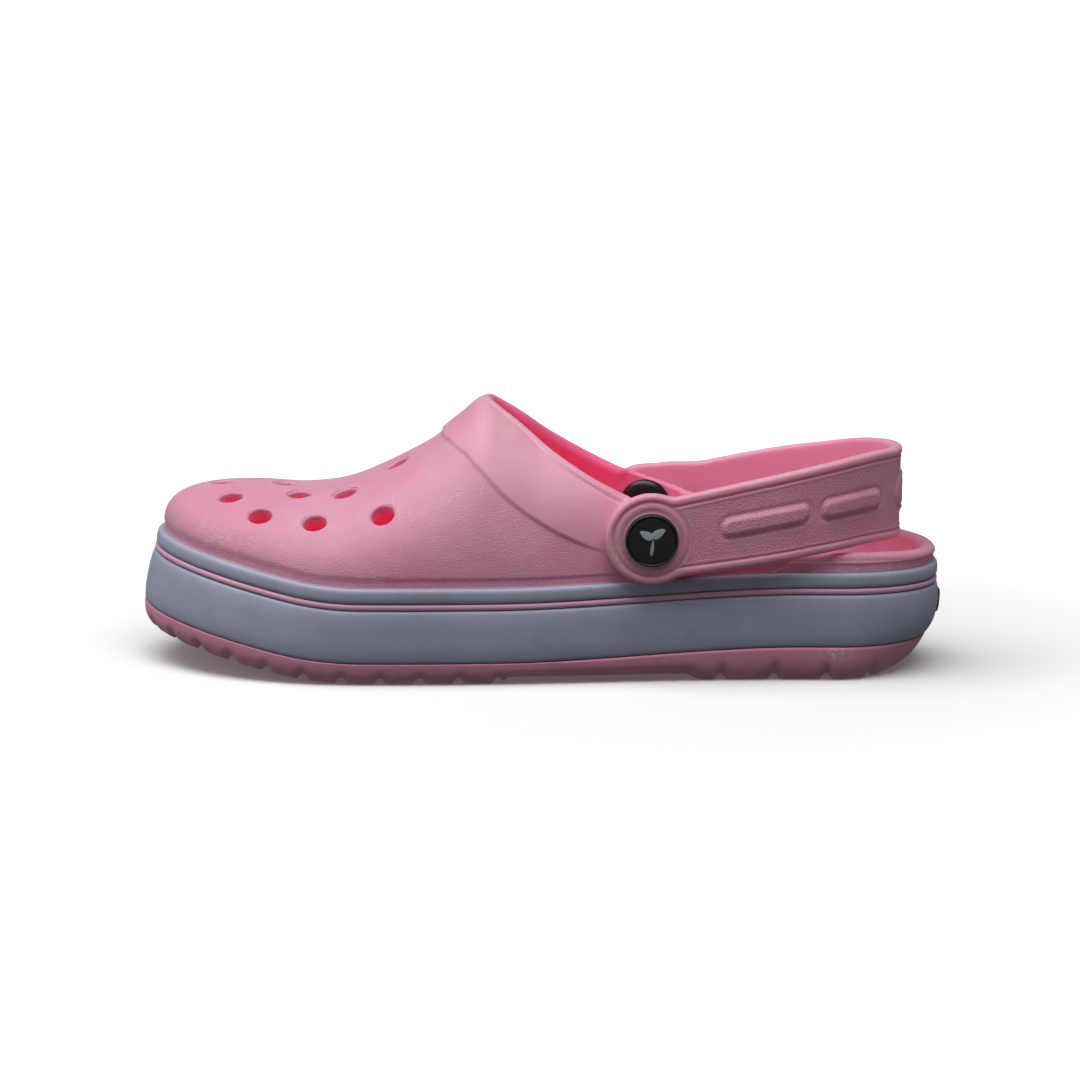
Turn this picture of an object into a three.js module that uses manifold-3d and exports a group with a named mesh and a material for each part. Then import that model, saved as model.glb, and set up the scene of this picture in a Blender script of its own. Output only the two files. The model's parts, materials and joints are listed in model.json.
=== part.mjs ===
// A foam casual clog with a platform sole and a swinging heel strap, left foot.
// Millimetres, +Z up. The toe points to -X, the outer side of the foot is -Y, and the
// origin is the bottom centre of the whole clog's box.
import * as THREE from 'three';
import { mergeVertices } from 'three/addons/utils/BufferGeometryUtils.js';
import { ParametricGeometry } from 'three/addons/geometries/ParametricGeometry.js';
import Module from 'manifold-3d';

const wasm = await Module();
wasm.setup();

// Plan outline of the sole: a half superellipse at each end, joined by two smooth sides that
// have narrowed to their rear width by their waist.
const OUTLINE_POWER = 2.2;
const TOE = { centre: -62, reach: 75.3, half: 51, tipShift: 7 };
const HEEL = { centre: 96, reach: 39.8 };
const SIDES = { lateral: { half: 36.8, waist: 96 }, medial: { half: 37, waist: 50 } };
const SPINE_TOE = -107;
const SPINE_HEEL = 104;

// The sole curls up at the toe: its slope grows over a ramp and then stays constant.
const SPRING_START = -58;
const SPRING_RAMP = 32;
const SPRING_SLOPE = 0.2;
// The heel stands on a thicker outsole than the forefoot.
const HEEL_LIFT = 4.2;
const LIFT_START = -15;
const LIFT_END = 90;
// The rear of the sole tucks in towards the ground.
const HEEL_TUCK = 10;
const TUCK_START = 100;
const TUCK_HEIGHT = 25;
// The arch is clear of the ground.
const ARCH_HEIGHT = 2;
const ARCH_CENTRE = 26;
const ARCH_HALF = 30;

// Heights of the layers at the ball of the foot, before spring and lift.
const OUTSOLE_TOP = 7.4;
const STRIPE_LOW = 25.1;
const STRIPE_HIGH = 27.5;
const MIDSOLE_TOP = 32.4;
const POCKET_FLOOR = 15;
const FOOTBED = 20;
const GAP = 0.3;
const MIDSOLE_BOTTOM = OUTSOLE_TOP + GAP;

// The layers' walls from the bottom up, as [distance inside the outline, height].
const OUTSOLE_WALL = [[5.2, 0], [3.2, 0.7], [1.5, 2.6], [0.6, 5], [0.3, OUTSOLE_TOP]];
const MIDSOLE_WALL = [[0.7, MIDSOLE_BOTTOM], [0, 8.6], [-0.4, 13], [-0.4, 19.5], [0, 24.3],
  [0.7, STRIPE_LOW], [3.2, STRIPE_LOW], [3.2, STRIPE_HIGH], [0.8, STRIPE_HIGH], [0.2, 28.4],
  [0.2, 31.2], [1, MIDSOLE_TOP], [4, MIDSOLE_TOP], [4.2, POCKET_FLOOR]];
const MIDSOLE_BULGE = -0.4;

// Tread grooves: the forefoot's, from the rearmost forwards, and the heel's, going back.
const GROOVE_RADIUS = 1.9;
const GROOVE_LENGTH = 130;
const TREAD_GROOVES = [{ first: -13, pitch: -13.4, count: 9 }, { first: 61, pitch: 16.2, count: 4 }];

// The upper: crest and opening seen from the side, as [x, z] stations.
const CREST = [[-95, 60], [-80, 59.5], [-66, 61.4], [-52, 67.2], [-38, 75.2], [-27, 84],
  [-19, 90], [-12, 88], [2, 81.5], [31, 76], [80, 74], [140, 72]];
const RIM = [[-17, 89.8], [-8, 84.4], [6, 74.6], [24, 64.6], [50, 54.6], [70, 47.2], [86, 43],
  [107, 43.2], [138, 41.8]];
const OPENING = { top: 125, rear: 145, width: 140, step: 5 };
const WALL = 4.3;
const UPPER_INSET = 1.9;
const NOSE_START = -95;
const NOSE_POWER = 3;
const HEEL_ROUND_START = 90;
const CREST_SHIFT = 2;

// Vent holes in the vamp: the middle ones by x, and the pairs as [x, distance to the middle].
const VENT_RADIUS = 4;
const VENT_LENGTH = 22;
// How far the vamp's foremost point is behind the sole's.
const VAMP_SETBACK = 6;
const VENT_MIDDLES = [-108.5, -87];
const VENT_PAIRS = [[-104, 20.2], [-93, 33.2], [-74.5, 37.7], [-52, 40.5], [-81, 16.4],
  [-65.5, 21], [-48.5, 11]];

// The rivets that the strap swings on.
const RIVET = { x: 36.6, z: 49, cap: 8.8, barrel: 4.2, pin: 2 };
const LATERAL_FACE = -41.4;
const MEDIAL_FACE = 37.4;
const LATERAL_SEAT = -34.2;
const MEDIAL_SEAT = 30.6;
const BOSS_RADIUS = 12.5;

// The strap: its centre line in plan, and its centre height and half height along x.
const STRAP_THICK = 4.5;
const STRAP_CORNER = 1.2;
const STRAP_STEPS = 44;
const STRAP_END = 15.1;
const STRAP_LATERAL = [[36.6, -43.95], [60, -43.6], [84, -40.2], [103, -31.5], [116.5, -16.5]];
const STRAP_BACK = [120.4, -1];
const STRAP_MEDIAL = [[116.5, 14], [103, 28.6], [84, 37.2], [60, 39.9], [36.6, 39.95]];
const STRAP_CENTRE = [[36.6, 48.4], [72, 54.8], [97, 59.1], [110, 60.6], [121, 60.2]];
const STRAP_HALF = [[36.6, 12.9], [72, 14.3], [97, 14.9], [121, 15.5]];

// The oval plaque on the rear of the sole; its height is on the flat sole.
const PLAQUE = { halfWidth: 8, halfHeight: 4.2, centreZ: 17.5, thick: 0.9, turn: 24 };

// Points round the outline, and the shares of them on the toe and heel ends.
const AROUND = 80;
const TOE_SHARE = 0.3;
const HEEL_SHARE = 0.2;

const smooth = (t) => {
  const s = Math.min(1, Math.max(0, t));
  return s * s * (3 - 2 * s);
};

// A smooth curve through [x, value] stations, held flat past both ends.
function through(stations, x) {
  const last = stations.length - 1;
  if (x <= stations[0][0]) return stations[0][1];
  if (x >= stations[last][0]) return stations[last][1];
  const i = stations.findIndex(([sx]) => sx > x) - 1;
  const slope = (k) => {
    const [xa, ya] = stations[Math.max(0, k - 1)];
    const [xb, yb] = stations[Math.min(last, k + 1)];
    return (yb - ya) / (xb - xa);
  };
  const [x0, y0] = stations[i];
  const [x1, y1] = stations[i + 1];
  const span = x1 - x0;
  const t = (x - x0) / span;
  return (2 * t ** 3 - 3 * t ** 2 + 1) * y0 + (t ** 3 - 2 * t ** 2 + t) * span * slope(i)
    + (3 * t ** 2 - 2 * t ** 3) * y1 + (t ** 3 - t ** 2) * span * slope(i + 1);
}

// One end of the outline from its tip (part 0) to its widest point (part 1).
function endPoint(centre, reach, half, tipShift, part) {
  const angle = part * Math.PI / 2;
  const along = Math.cos(angle) ** (2 / OUTLINE_POWER);
  const across = Math.sin(angle) ** (2 / OUTLINE_POWER);
  return new THREE.Vector2(centre + reach * along, half * across + tipShift * along ** 2);
}

// The sole's half width between the two ends, on the lateral (-1) or medial (1) side.
function sideHalf(sign, x) {
  const { half, waist } = sign < 0 ? SIDES.lateral : SIDES.medial;
  return TOE.half + (half - TOE.half) * smooth((x - TOE.centre) / (waist - TOE.centre));
}

// Half of the outline, from toe tip to heel tip, on the lateral (-1) or medial (1) side.
function outlineSide(sign, count) {
  const heelHalf = sideHalf(sign, HEEL.centre);
  const toeCount = Math.round(count * TOE_SHARE);
  const heelCount = Math.round(count * HEEL_SHARE);
  const sideCount = count - toeCount - heelCount;
  const points = [];
  for (let i = 0; i < toeCount; i += 1) {
    points.push(endPoint(TOE.centre, -TOE.reach, sign * TOE.half, TOE.tipShift, i / toeCount));
  }
  for (let i = 0; i < sideCount; i += 1) {
    const x = THREE.MathUtils.lerp(TOE.centre, HEEL.centre, i / sideCount);
    points.push(new THREE.Vector2(x, sign * sideHalf(sign, x)));
  }
  for (let i = heelCount; i >= 0; i -= 1) {
    points.push(endPoint(HEEL.centre, HEEL.reach, sign * heelHalf, 0, i / heelCount));
  }
  return points;
}

// The whole outline: toe tip, lateral side, heel tip, medial side, with inward normals.
function outline(around) {
  const lateral = outlineSide(-1, around / 2);
  const medial = outlineSide(1, around / 2).slice(1, -1).reverse();
  const points = [...lateral, ...medial];
  return points.map((point, i) => {
    const before = points[(i + around - 1) % around];
    const after = points[(i + 1) % around];
    const run = after.clone().sub(before).normalize();
    return { point, inward: new THREE.Vector2(-run.y, run.x) };
  });
}

const RING = outline(AROUND);

const lift = (x) => HEEL_LIFT * smooth((x - LIFT_START) / (LIFT_END - LIFT_START));

const tuck = (x, z) => HEEL_TUCK * smooth((x - TUCK_START) / (HEEL.centre + HEEL.reach - TUCK_START))
  * Math.max(0, 1 - z / TUCK_HEIGHT) ** 3;

const arch = (x, z) => ARCH_HEIGHT * (1 - smooth(Math.abs(x - ARCH_CENTRE) / ARCH_HALF))
  * Math.max(0, 1 - z / OUTSOLE_TOP);

// Moves a point of the flat sole to its place on the curled and lifted sole.
function sprung(x, y, z) {
  const past = Math.max(0, SPRING_START - x);
  const ramp = Math.min(past, SPRING_RAMP);
  const rise = SPRING_SLOPE * (ramp ** 2 / (2 * SPRING_RAMP) + past - ramp);
  const tilt = Math.atan(SPRING_SLOPE * ramp / SPRING_RAMP);
  const raised = z + lift(x) * Math.min(1, z / OUTSOLE_TOP) + arch(x, z);
  return new THREE.Vector3(x + raised * Math.sin(tilt), y, rise + raised * Math.cos(tilt));
}

// The outline's point i, moved inwards by inset, at height z of the flat sole.
function ringPoint(i, inset, z) {
  const { point, inward } = RING[i % AROUND];
  const total = inset + tuck(point.x, z);
  return sprung(point.x + inward.x * total, point.y + inward.y * total, z);
}

// The point of the sole's middle line that the outline's point i is joined to.
function spinePoint(i, z) {
  const { point } = RING[i % AROUND];
  const mate = RING[(AROUND - i) % AROUND].point;
  if (point.x < SPINE_TOE) {
    return sprung(SPINE_TOE, TOE.tipShift * ((SPINE_TOE - TOE.centre) / TOE.reach) ** 2, z);
  }
  return sprung(Math.min(point.x, SPINE_HEEL), point.x < SPINE_HEEL ? (point.y + mate.y) / 2 : 0, z);
}

// Makes a closed solid from a surface given by its rows, each going round the outline.
function solidFromRows(rows, around = AROUND) {
  const flat = new ParametricGeometry((u, v, target) => {
    target.copy(rows[Math.round(v * (rows.length - 1))](Math.round(u * around) % around));
  }, around, rows.length - 1);
  return toSolid(flat);
}

// A closed three.js geometry as a solid, with its faces turned outwards.
function toSolid(geometry) {
  geometry.deleteAttribute('normal');
  geometry.deleteAttribute('uv');
  const merged = mergeVertices(geometry, 1e-4);
  const position = merged.getAttribute('position');
  const index = merged.getIndex().array;
  const corners = [0, 1, 2].map(() => new THREE.Vector3());
  const kept = [];
  let volume = 0;
  for (let i = 0; i < index.length; i += 3) {
    const [a, b, c] = index.slice(i, i + 3);
    if (a !== b && b !== c && c !== a) {
      kept.push([a, b, c]);
      corners.forEach((corner, k) => corner.fromBufferAttribute(position, [a, b, c][k]));
      volume += corners[0].dot(corners[1].clone().cross(corners[2]));
    }
  }
  const turned = volume < 0 ? kept.map(([a, b, c]) => [a, c, b]) : kept;
  return new wasm.Manifold(new wasm.Mesh({
    numProp: 3,
    vertProperties: new Float32Array(position.array),
    triVerts: new Uint32Array(turned.flat()),
  }));
}

// A solid of revolution about the rivet's axis, from [radius, y] profile points.
function turnedOnRivet(profile) {
  const lathe = new THREE.LatheGeometry(profile.map(([r, y]) => new THREE.Vector2(r, y)), 24);
  lathe.translate(RIVET.x, 0, RIVET.z);
  return toSolid(lathe);
}

// A cylinder along Y between two distances from the middle plane.
function rivetCylinder(radius, yA, yB, sides = 24) {
  const cylinder = new THREE.CylinderGeometry(radius, radius, Math.abs(yB - yA), sides);
  cylinder.translate(RIVET.x, (yA + yB) / 2, RIVET.z);
  return toSolid(cylinder);
}

// A groove across the outsole's tread, where the curled sole's underside is at x.
function treadGroove(x) {
  const groove = new THREE.CylinderGeometry(GROOVE_RADIUS, GROOVE_RADIUS, GROOVE_LENGTH, 6);
  const foot = sprung(x, 0, 0);
  groove.translate(foot.x, 0, foot.z);
  return toSolid(groove);
}

function outsole() {
  const rows = [(i) => spinePoint(i, 0)];
  OUTSOLE_WALL.forEach(([inset, z]) => rows.push((i) => ringPoint(i, inset, z)));
  rows.push((i) => spinePoint(i, OUTSOLE_TOP));
  let body = solidFromRows(rows);
  TREAD_GROOVES.forEach(({ first, pitch, count }) => {
    for (let k = 0; k < count; k += 1) {
      body = body.subtract(treadGroove(first + pitch * k));
    }
  });
  return body;
}

function midsole() {
  const rows = [(i) => spinePoint(i, MIDSOLE_BOTTOM)];
  MIDSOLE_WALL.forEach(([inset, z]) => rows.push((i) => ringPoint(i, inset, z)));
  rows.push((i) => spinePoint(i, POCKET_FLOOR));
  return solidFromRows(rows);
}

function stripeInlay() {
  const low = STRIPE_LOW + GAP;
  const high = STRIPE_HIGH - GAP;
  const section = [[0.7, low], [0.3, (low + high) / 2], [0.7, high], [2.8, high], [2.8, low]];
  const rows = [...section, section[0]].map(([inset, z]) => (i) => ringPoint(i, inset, z));
  return solidFromRows(rows);
}

// How squarely the upper's cross-section is rounded: round on the vamp, upright at the heel.
const sectionPower = (x) => 2.2 + 0.5 * smooth((x + 20) / 50) + 1.4 * smooth((x - 40) / 50);

// The rounding of the upper in side view at its toe and heel ends, from 1 to 0 at the tips.
function endRounding(x, toeTip, heelTip) {
  if (x < NOSE_START) {
    const part = (NOSE_START - x) / (NOSE_START - toeTip);
    return Math.max(0, 1 - part ** NOSE_POWER) ** (1 / NOSE_POWER);
  }
  if (x > HEEL_ROUND_START) {
    return Math.max(0, 1 - ((x - HEEL_ROUND_START) / (heelTip - HEEL_ROUND_START)) ** 4) ** 0.25;
  }
  return 1;
}

// Rows of a dome that stands on the outline at this inset and height, up to the crest less drop.
function domeRows(inset, z, drop, steps) {
  const toeTip = ringPoint(0, inset, z).x;
  const heelTip = ringPoint(AROUND / 2, inset, z).x;
  const rows = [];
  for (let step = 0; step <= steps; step += 1) {
    rows.push((i) => {
      const side = ringPoint(i, inset, z);
      const mate = ringPoint((AROUND - i) % AROUND, inset, z);
      const x = (side.x + mate.x) / 2;
      const power = 2 / sectionPower(x);
      const angle = (step / steps) * Math.PI / 2;
      const across = Math.max(0, Math.cos(angle)) ** power;
      const up = Math.sin(angle) ** power;
      const middle = (side.y + mate.y) / 2 + CREST_SHIFT * endRounding(x, toeTip, heelTip);
      const base = (side.z + mate.z) / 2;
      const top = base + (through(CREST, x) - drop - base) * endRounding(x, toeTip, heelTip);
      return new THREE.Vector3(x + (side.x - x) * across, middle + (side.y - middle) * across,
        side.z + (top - side.z) * up);
    });
  }
  return rows;
}

// The space above the opening, which the upper is cut by.
function openingCut() {
  const { top, rear, width, step } = OPENING;
  const shape = new THREE.Shape();
  const [[firstX, firstZ]] = RIM;
  shape.moveTo(firstX - step, top);
  shape.lineTo(firstX - step / 2, firstZ + step);
  for (let x = firstX; x < rear; x += step) {
    shape.lineTo(x, through(RIM, x));
  }
  shape.lineTo(rear, through(RIM, rear));
  shape.lineTo(rear, top);
  shape.closePath();
  const cut = new THREE.ExtrudeGeometry(shape, { depth: width, bevelEnabled: false });
  cut.rotateX(Math.PI / 2);
  cut.translate(0, width / 2, 0);
  return toSolid(cut);
}

// The upper's middle line in plan, and its surface's height at an offset from that line.
function middleY(x) {
  return CREST_SHIFT + TOE.tipShift * (Math.min(0, x - TOE.centre) / TOE.reach) ** 2;
}

function vampHeight(x, offset) {
  const past = Math.max(0, TOE.centre - x) / (TOE.reach - UPPER_INSET - VAMP_SETBACK);
  const half = (TOE.half - UPPER_INSET) * (1 - past ** OUTLINE_POWER) ** (1 / OUTLINE_POWER);
  const power = sectionPower(x);
  const base = sprung(x, 0, MIDSOLE_TOP).z;
  const round = (1 - Math.min(1, Math.abs(offset) / half) ** power) ** (1 / power);
  return base + (through(CREST, x) - base) * round;
}

// A vent hole, drilled square to the vamp's surface.
function ventHole(x, offset) {
  const height = vampHeight(x, offset);
  const step = 0.5;
  const normal = new THREE.Vector3(
    vampHeight(x - step, offset) - vampHeight(x + step, offset),
    vampHeight(x, offset - step) - vampHeight(x, offset + step), 2 * step).normalize();
  const hole = new THREE.CylinderGeometry(VENT_RADIUS, VENT_RADIUS, VENT_LENGTH, 12);
  hole.applyQuaternion(new THREE.Quaternion()
    .setFromUnitVectors(new THREE.Vector3(0, 1, 0), normal));
  hole.translate(x, middleY(x) + offset, height);
  return toSolid(hole);
}

function cavity() {
  const rows = [(i) => spinePoint(i, FOOTBED)];
  [[12, FOOTBED], [9.2, FOOTBED + 1.6], [7.6, FOOTBED + 5]].forEach(([inset, z]) => {
    rows.push((i) => ringPoint(i, inset, z));
  });
  rows.push(...domeRows(UPPER_INSET + WALL, MIDSOLE_TOP + GAP, WALL, 7));
  return solidFromRows(rows);
}

function upperShell() {
  const rows = [(i) => spinePoint(i, POCKET_FLOOR + GAP)];
  [[6, POCKET_FLOOR + GAP], [4.5, POCKET_FLOOR + 2], [4.3, MIDSOLE_TOP + GAP]]
    .forEach(([inset, z]) => rows.push((i) => ringPoint(i, inset, z)));
  rows.push(...domeRows(UPPER_INSET, MIDSOLE_TOP + GAP, 0, 8));
  let body = solidFromRows(rows);
  body = body.add(rivetCylinder(BOSS_RADIUS, LATERAL_FACE, LATERAL_SEAT));
  body = body.add(rivetCylinder(BOSS_RADIUS, MEDIAL_SEAT, MEDIAL_FACE));
  body = body.subtract(cavity());
  body = body.subtract(openingCut());
  body = body.subtract(rivetCylinder(RIVET.cap + 0.4, LATERAL_SEAT, MEDIAL_SEAT));
  body = body.subtract(rivetCylinder(RIVET.barrel + GAP, -60, 60, 16));
  VENT_MIDDLES.forEach((x) => {
    body = body.subtract(ventHole(x, 0));
  });
  VENT_PAIRS.forEach(([x, offset]) => {
    body = body.subtract(ventHole(x, -offset)).subtract(ventHole(x, offset));
  });
  return body;
}

// The strap's band, as cross-sections along its plan curve.
function strapBand() {
  const plan = [...STRAP_LATERAL, STRAP_BACK, ...STRAP_MEDIAL];
  const curve = new THREE.CatmullRomCurve3(plan.map(([x, y]) => new THREE.Vector3(x, y, 0)),
    false, 'centripetal');
  const corner = STRAP_CORNER;
  const half = STRAP_THICK / 2;
  const stations = Array.from({ length: STRAP_STEPS + 1 }, (_, k) => {
    const at = curve.getPointAt(k / STRAP_STEPS);
    const run = curve.getTangentAt(k / STRAP_STEPS);
    return { at, out: new THREE.Vector3(run.y, -run.x, 0) };
  });
  const section = (tall) => [[-half, corner - tall], [corner - half, -tall], [half - corner, -tall],
    [half, corner - tall], [half, tall - corner], [half - corner, tall], [corner - half, tall],
    [-half, tall - corner]];
  const corners = section(1).length;
  const place = (k, j) => {
    const { at, out } = stations[k];
    const [offset, up] = section(through(STRAP_HALF, at.x))[j % corners];
    return new THREE.Vector3(at.x + out.x * offset, at.y + out.y * offset,
      through(STRAP_CENTRE, at.x) + up);
  };
  const middle = (k) => new THREE.Vector3(stations[k].at.x, stations[k].at.y,
    through(STRAP_CENTRE, stations[k].at.x));
  const rows = [() => middle(0)];
  stations.forEach((_, k) => rows.push((j) => place(k, j)));
  rows.push(() => middle(STRAP_STEPS));
  return solidFromRows(rows, corners);
}

function heelStrap() {
  const lateral = LATERAL_FACE - GAP;
  const medial = MEDIAL_FACE + GAP;
  let body = strapBand();
  body = body.add(rivetCylinder(STRAP_END, lateral, lateral - STRAP_THICK, 40));
  body = body.add(rivetCylinder(STRAP_END, medial, medial + STRAP_THICK, 40));
  return body.subtract(rivetCylinder(RIVET.barrel + GAP, -60, 60, 16));
}

// The three pieces of one rivet. Side is -1 on the lateral side and 1 on the medial side.
function rivetPieces(side) {
  const face = side < 0 ? -LATERAL_FACE : MEDIAL_FACE;
  const seat = side < 0 ? -LATERAL_SEAT : MEDIAL_SEAT;
  const under = face + STRAP_THICK + 2 * GAP;
  const { cap, barrel, pin } = RIVET;
  const joinY = seat + 4;
  const flange = seat - GAP;
  const turned = (profile) => turnedOnRivet(profile.map(([r, y]) => [r, side * y]));
  const stud = turned([[0, under + 1.1], [cap - 1.6, under + 1.1], [cap - 1.4, under + 1.9],
    [cap - 0.6, under + 2], [cap, under + 1.2], [cap, under], [barrel, under],
    [barrel, joinY + GAP], [pin, joinY + GAP], [pin, flange - 0.4], [0, flange - 0.4]]);
  const badge = turned([[0, under + 1.1 + GAP], [cap - 1.9, under + 1.1 + GAP],
    [cap - 1.9, under + 1.8], [cap * 0.5, under + 2.4], [0, under + 2.6]]);
  const button = turned([[0, flange - 2.7], [cap - 2.5, flange - 2.4], [cap - 0.4, flange - 1.4],
    [cap, flange - 0.7], [cap, flange], [barrel, flange], [barrel, joinY], [pin + GAP, joinY],
    [pin + GAP, flange - 0.8], [0, flange - 0.8]]);
  return { stud, badge, button };
}

// A thin oval plaque that lies on the rear of the midsole.
function heelPlaque() {
  const { halfWidth, halfHeight, centreZ, thick, turn } = PLAQUE;
  const rear = (y, z) => {
    const nearest = RING.map((_, i) => ringPoint(i, MIDSOLE_BULGE, z))
      .filter((p) => p.x > HEEL.centre)
      .sort((a, b) => a.y - b.y);
    const k = nearest.findIndex((p) => p.y > y);
    const part = (y - nearest[k - 1].y) / (nearest[k].y - nearest[k - 1].y);
    return THREE.MathUtils.lerp(nearest[k - 1].x, nearest[k].x, part);
  };
  const rim = (i, scale, out) => {
    const angle = (i / turn) * 2 * Math.PI;
    const y = Math.cos(angle) * halfWidth * scale;
    const z = centreZ + Math.sin(angle) * halfHeight * scale;
    return new THREE.Vector3(rear(y, z) + out, y, z + HEEL_LIFT);
  };
  const rows = [() => rim(0, 0, GAP), (i) => rim(i, 0.5, GAP), (i) => rim(i, 1, GAP),
    (i) => rim(i, 1, thick), (i) => rim(i, 0.9, thick + GAP), (i) => rim(i, 0.45, thick + GAP),
    () => rim(0, 0, thick + GAP)];
  return solidFromRows(rows, turn);
}

function mesh(name, solid, colour, roughness) {
  const { vertProperties, triVerts } = solid.getMesh();
  const geometry = new THREE.BufferGeometry();
  geometry.setAttribute('position', new THREE.BufferAttribute(vertProperties, 3));
  geometry.setIndex(new THREE.BufferAttribute(triVerts, 1));
  const material = new THREE.MeshStandardMaterial({ color: colour, roughness, metalness: 0 });
  const piece = new THREE.Mesh(geometry, material);
  piece.name = name;
  return piece;
}

const PINK = 0xe9a3be;
const STRIPE_PINK = 0xdf9cc0;
const LILAC = 0xaab2c8;
const BLACK = 0x0c0d0f;

const clog = new THREE.Group();
clog.add(mesh('outsole', outsole(), PINK, 0.75));
clog.add(mesh('midsole', midsole(), LILAC, 0.65));
clog.add(mesh('stripe_inlay', stripeInlay(), STRIPE_PINK, 0.7));
clog.add(mesh('upper_shell', upperShell(), PINK, 0.6));
clog.add(mesh('heel_strap', heelStrap(), PINK, 0.6));
clog.add(mesh('heel_plaque', heelPlaque(), BLACK, 0.4));
for (const [word, side] of [['lateral', -1], ['medial', 1]]) {
  const { stud, badge, button } = rivetPieces(side);
  clog.add(mesh(`rivet_stud_${word}`, stud, BLACK, 0.3));
  clog.add(mesh(`rivet_badge_${word}`, badge, BLACK, 0.12));
  clog.add(mesh(`rivet_button_${word}`, button, BLACK, 0.35));
}

const box = new THREE.Box3().setFromObject(clog);
clog.position.set(-(box.min.x + box.max.x) / 2, -(box.min.y + box.max.y) / 2, -box.min.z);

export default clog;
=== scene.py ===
import json
import math
import bpy
import bmesh
import numpy as np
from mathutils import Matrix, Vector, kdtree


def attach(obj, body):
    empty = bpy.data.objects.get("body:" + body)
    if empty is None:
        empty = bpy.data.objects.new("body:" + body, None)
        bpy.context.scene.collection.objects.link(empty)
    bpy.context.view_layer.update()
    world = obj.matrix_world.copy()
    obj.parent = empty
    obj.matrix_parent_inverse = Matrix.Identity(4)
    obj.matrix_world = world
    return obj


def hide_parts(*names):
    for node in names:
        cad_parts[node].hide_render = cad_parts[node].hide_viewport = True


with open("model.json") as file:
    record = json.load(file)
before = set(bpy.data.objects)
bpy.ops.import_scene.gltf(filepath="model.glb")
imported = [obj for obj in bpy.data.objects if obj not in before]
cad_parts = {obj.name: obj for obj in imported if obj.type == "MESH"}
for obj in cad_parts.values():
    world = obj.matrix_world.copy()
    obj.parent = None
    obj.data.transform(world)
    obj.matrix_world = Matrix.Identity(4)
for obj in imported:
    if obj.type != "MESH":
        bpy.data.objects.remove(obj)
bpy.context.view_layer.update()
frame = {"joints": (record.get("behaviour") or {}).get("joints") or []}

# Lengths below are millimetres on the shoe's own plan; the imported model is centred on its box.
MM = 0.001
WELD, SLIVER = 2e-6, 1e-7
TINY = 0.01
RIVET_X, RIVET_Z = 36.6, 49.0
SHIFT = frame["joints"][0]["pos_m"][0] / MM - RIVET_X

OUTLINE_POWER = 2.2
TOE_CENTRE, TOE_REACH, TOE_HALF, TOE_SHIFT = -62.0, 75.3, 51.0, 7.0
HEEL_CENTRE, HEEL_REACH = 96.0, 39.8
LATERAL_HALF, LATERAL_WAIST = 36.8, 96.0
MEDIAL_HALF, MEDIAL_WAIST = 37.0, 50.0
SPINE_TOE, SPINE_HEEL = -107.0, 104.0
SPRING_START, SPRING_RAMP, SPRING_SLOPE = -58.0, 32.0, 0.2
HEEL_LIFT, LIFT_START, LIFT_END = 4.2, -15.0, 90.0
HEEL_TUCK, TUCK_START, TUCK_HEIGHT = 10.0, 100.0, 25.0
OUTSOLE_TOP, MIDSOLE_TOP = 7.4, 32.4
SOLE_POINTS = 720
FOOTBED, CUP_DEPTH, BED_STEPS = 20.0, 0.8, 13
ARCH_FRONT, ARCH_REAR, ARCH_RISE = -12.0, 55.0, 2.1

CREST = [(-95, 60), (-80, 59.5), (-66, 61.4), (-52, 67.2), (-38, 75.2), (-27, 84), (-19, 90),
         (-12, 88), (2, 81.5), (31, 76), (80, 74), (140, 72)]
RIM = [(-17, 90.15), (-8, 84.4), (6, 74.6), (24, 64.6), (50, 54.6), (70, 47.2), (86, 43),
       (107, 43.2), (138, 41.8)]
WALL = 4.3
BASE_INSET, BASE_Z = 1.9, 32.7
NOSE_START, NOSE_POWER, HEEL_ROUND_START, CREST_SHIFT = -95.0, 3.0, 90.0, 2.0
COLLAR = [(-17, 20), (-13, 24.5), (-5, 27.5), (2, 26.8), (14, 24), (25, 21.5), (36, 19.6)]
COLLAR_MARGIN, COLLAR_DEPTH_SHARE = 2.2, 0.72
RIM_JOIN = 60.0
VENTS = [(-108.5, 0), (-87, 0)] + [(x, side * off) for side in (-1, 1) for x, off in (
    (-104, 20.2), (-93, 33.2), (-74.5, 37.7), (-52, 40.5), (-81, 16.4), (-65.5, 21), (-48.5, 11))]
VENT_RADIUS, VENT_FILLET, VENT_SAG = 3.9, 0.9, 0.22
COLLAR_STEP, COLLAR_DIP, WELT_DEPTH, HEEL_FLARE = 0.5, 0.45, 0.55, 1.2

FACE = {-1: 41.4, 1: 37.4}
SEAT = {-1: 34.2, 1: 30.6}
FACE_RADIUS, FACE_BLEND = 12.0, 2.5
SEAT_RADIUS, SEAT_BLEND = 11.5, 3.0
BARREL, BORE_GAP = 4.2, 0.3
CAP, BADGE = 8.8, 7.6
STRAP_LATERAL = [(36.6, -43.95), (60, -43.6), (84, -40.2), (103, -31.5), (116.5, -16.5)]
STRAP_BACK = [(120.4, -1)]
STRAP_MEDIAL = [(116.5, 14), (103, 28.6), (84, 37.2), (60, 39.9), (36.6, 39.95)]
STRAP_CENTRE = [(36.6, 48.4), (72, 54.8), (97, 59.1), (110, 60.6), (121, 60.2)]
STRAP_HALF = [(36.6, 12.9), (72, 14.3), (97, 14.9), (121, 15.5)]
STRAP_THICK = 4.5
RING_RADIUS, MEDIAL_RING, RING_SOFT = 15.1, 13.0, 1.6
MEDIAL_DROP = 2.6
BAR_HALF, BAR_CORNER, BAR_HEIGHT = 3.1, 2.7, 1.05
PAD_LONG, PAD_HALF, PAD_HEIGHT = 14.5, 7.2, 0.75
INNER_START, INNER_GLOW_SHARE = 0.3, 0.6


def smooth(t):
    s = np.clip(t, 0.0, 1.0)
    return s * s * (3 - 2 * s)


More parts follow.
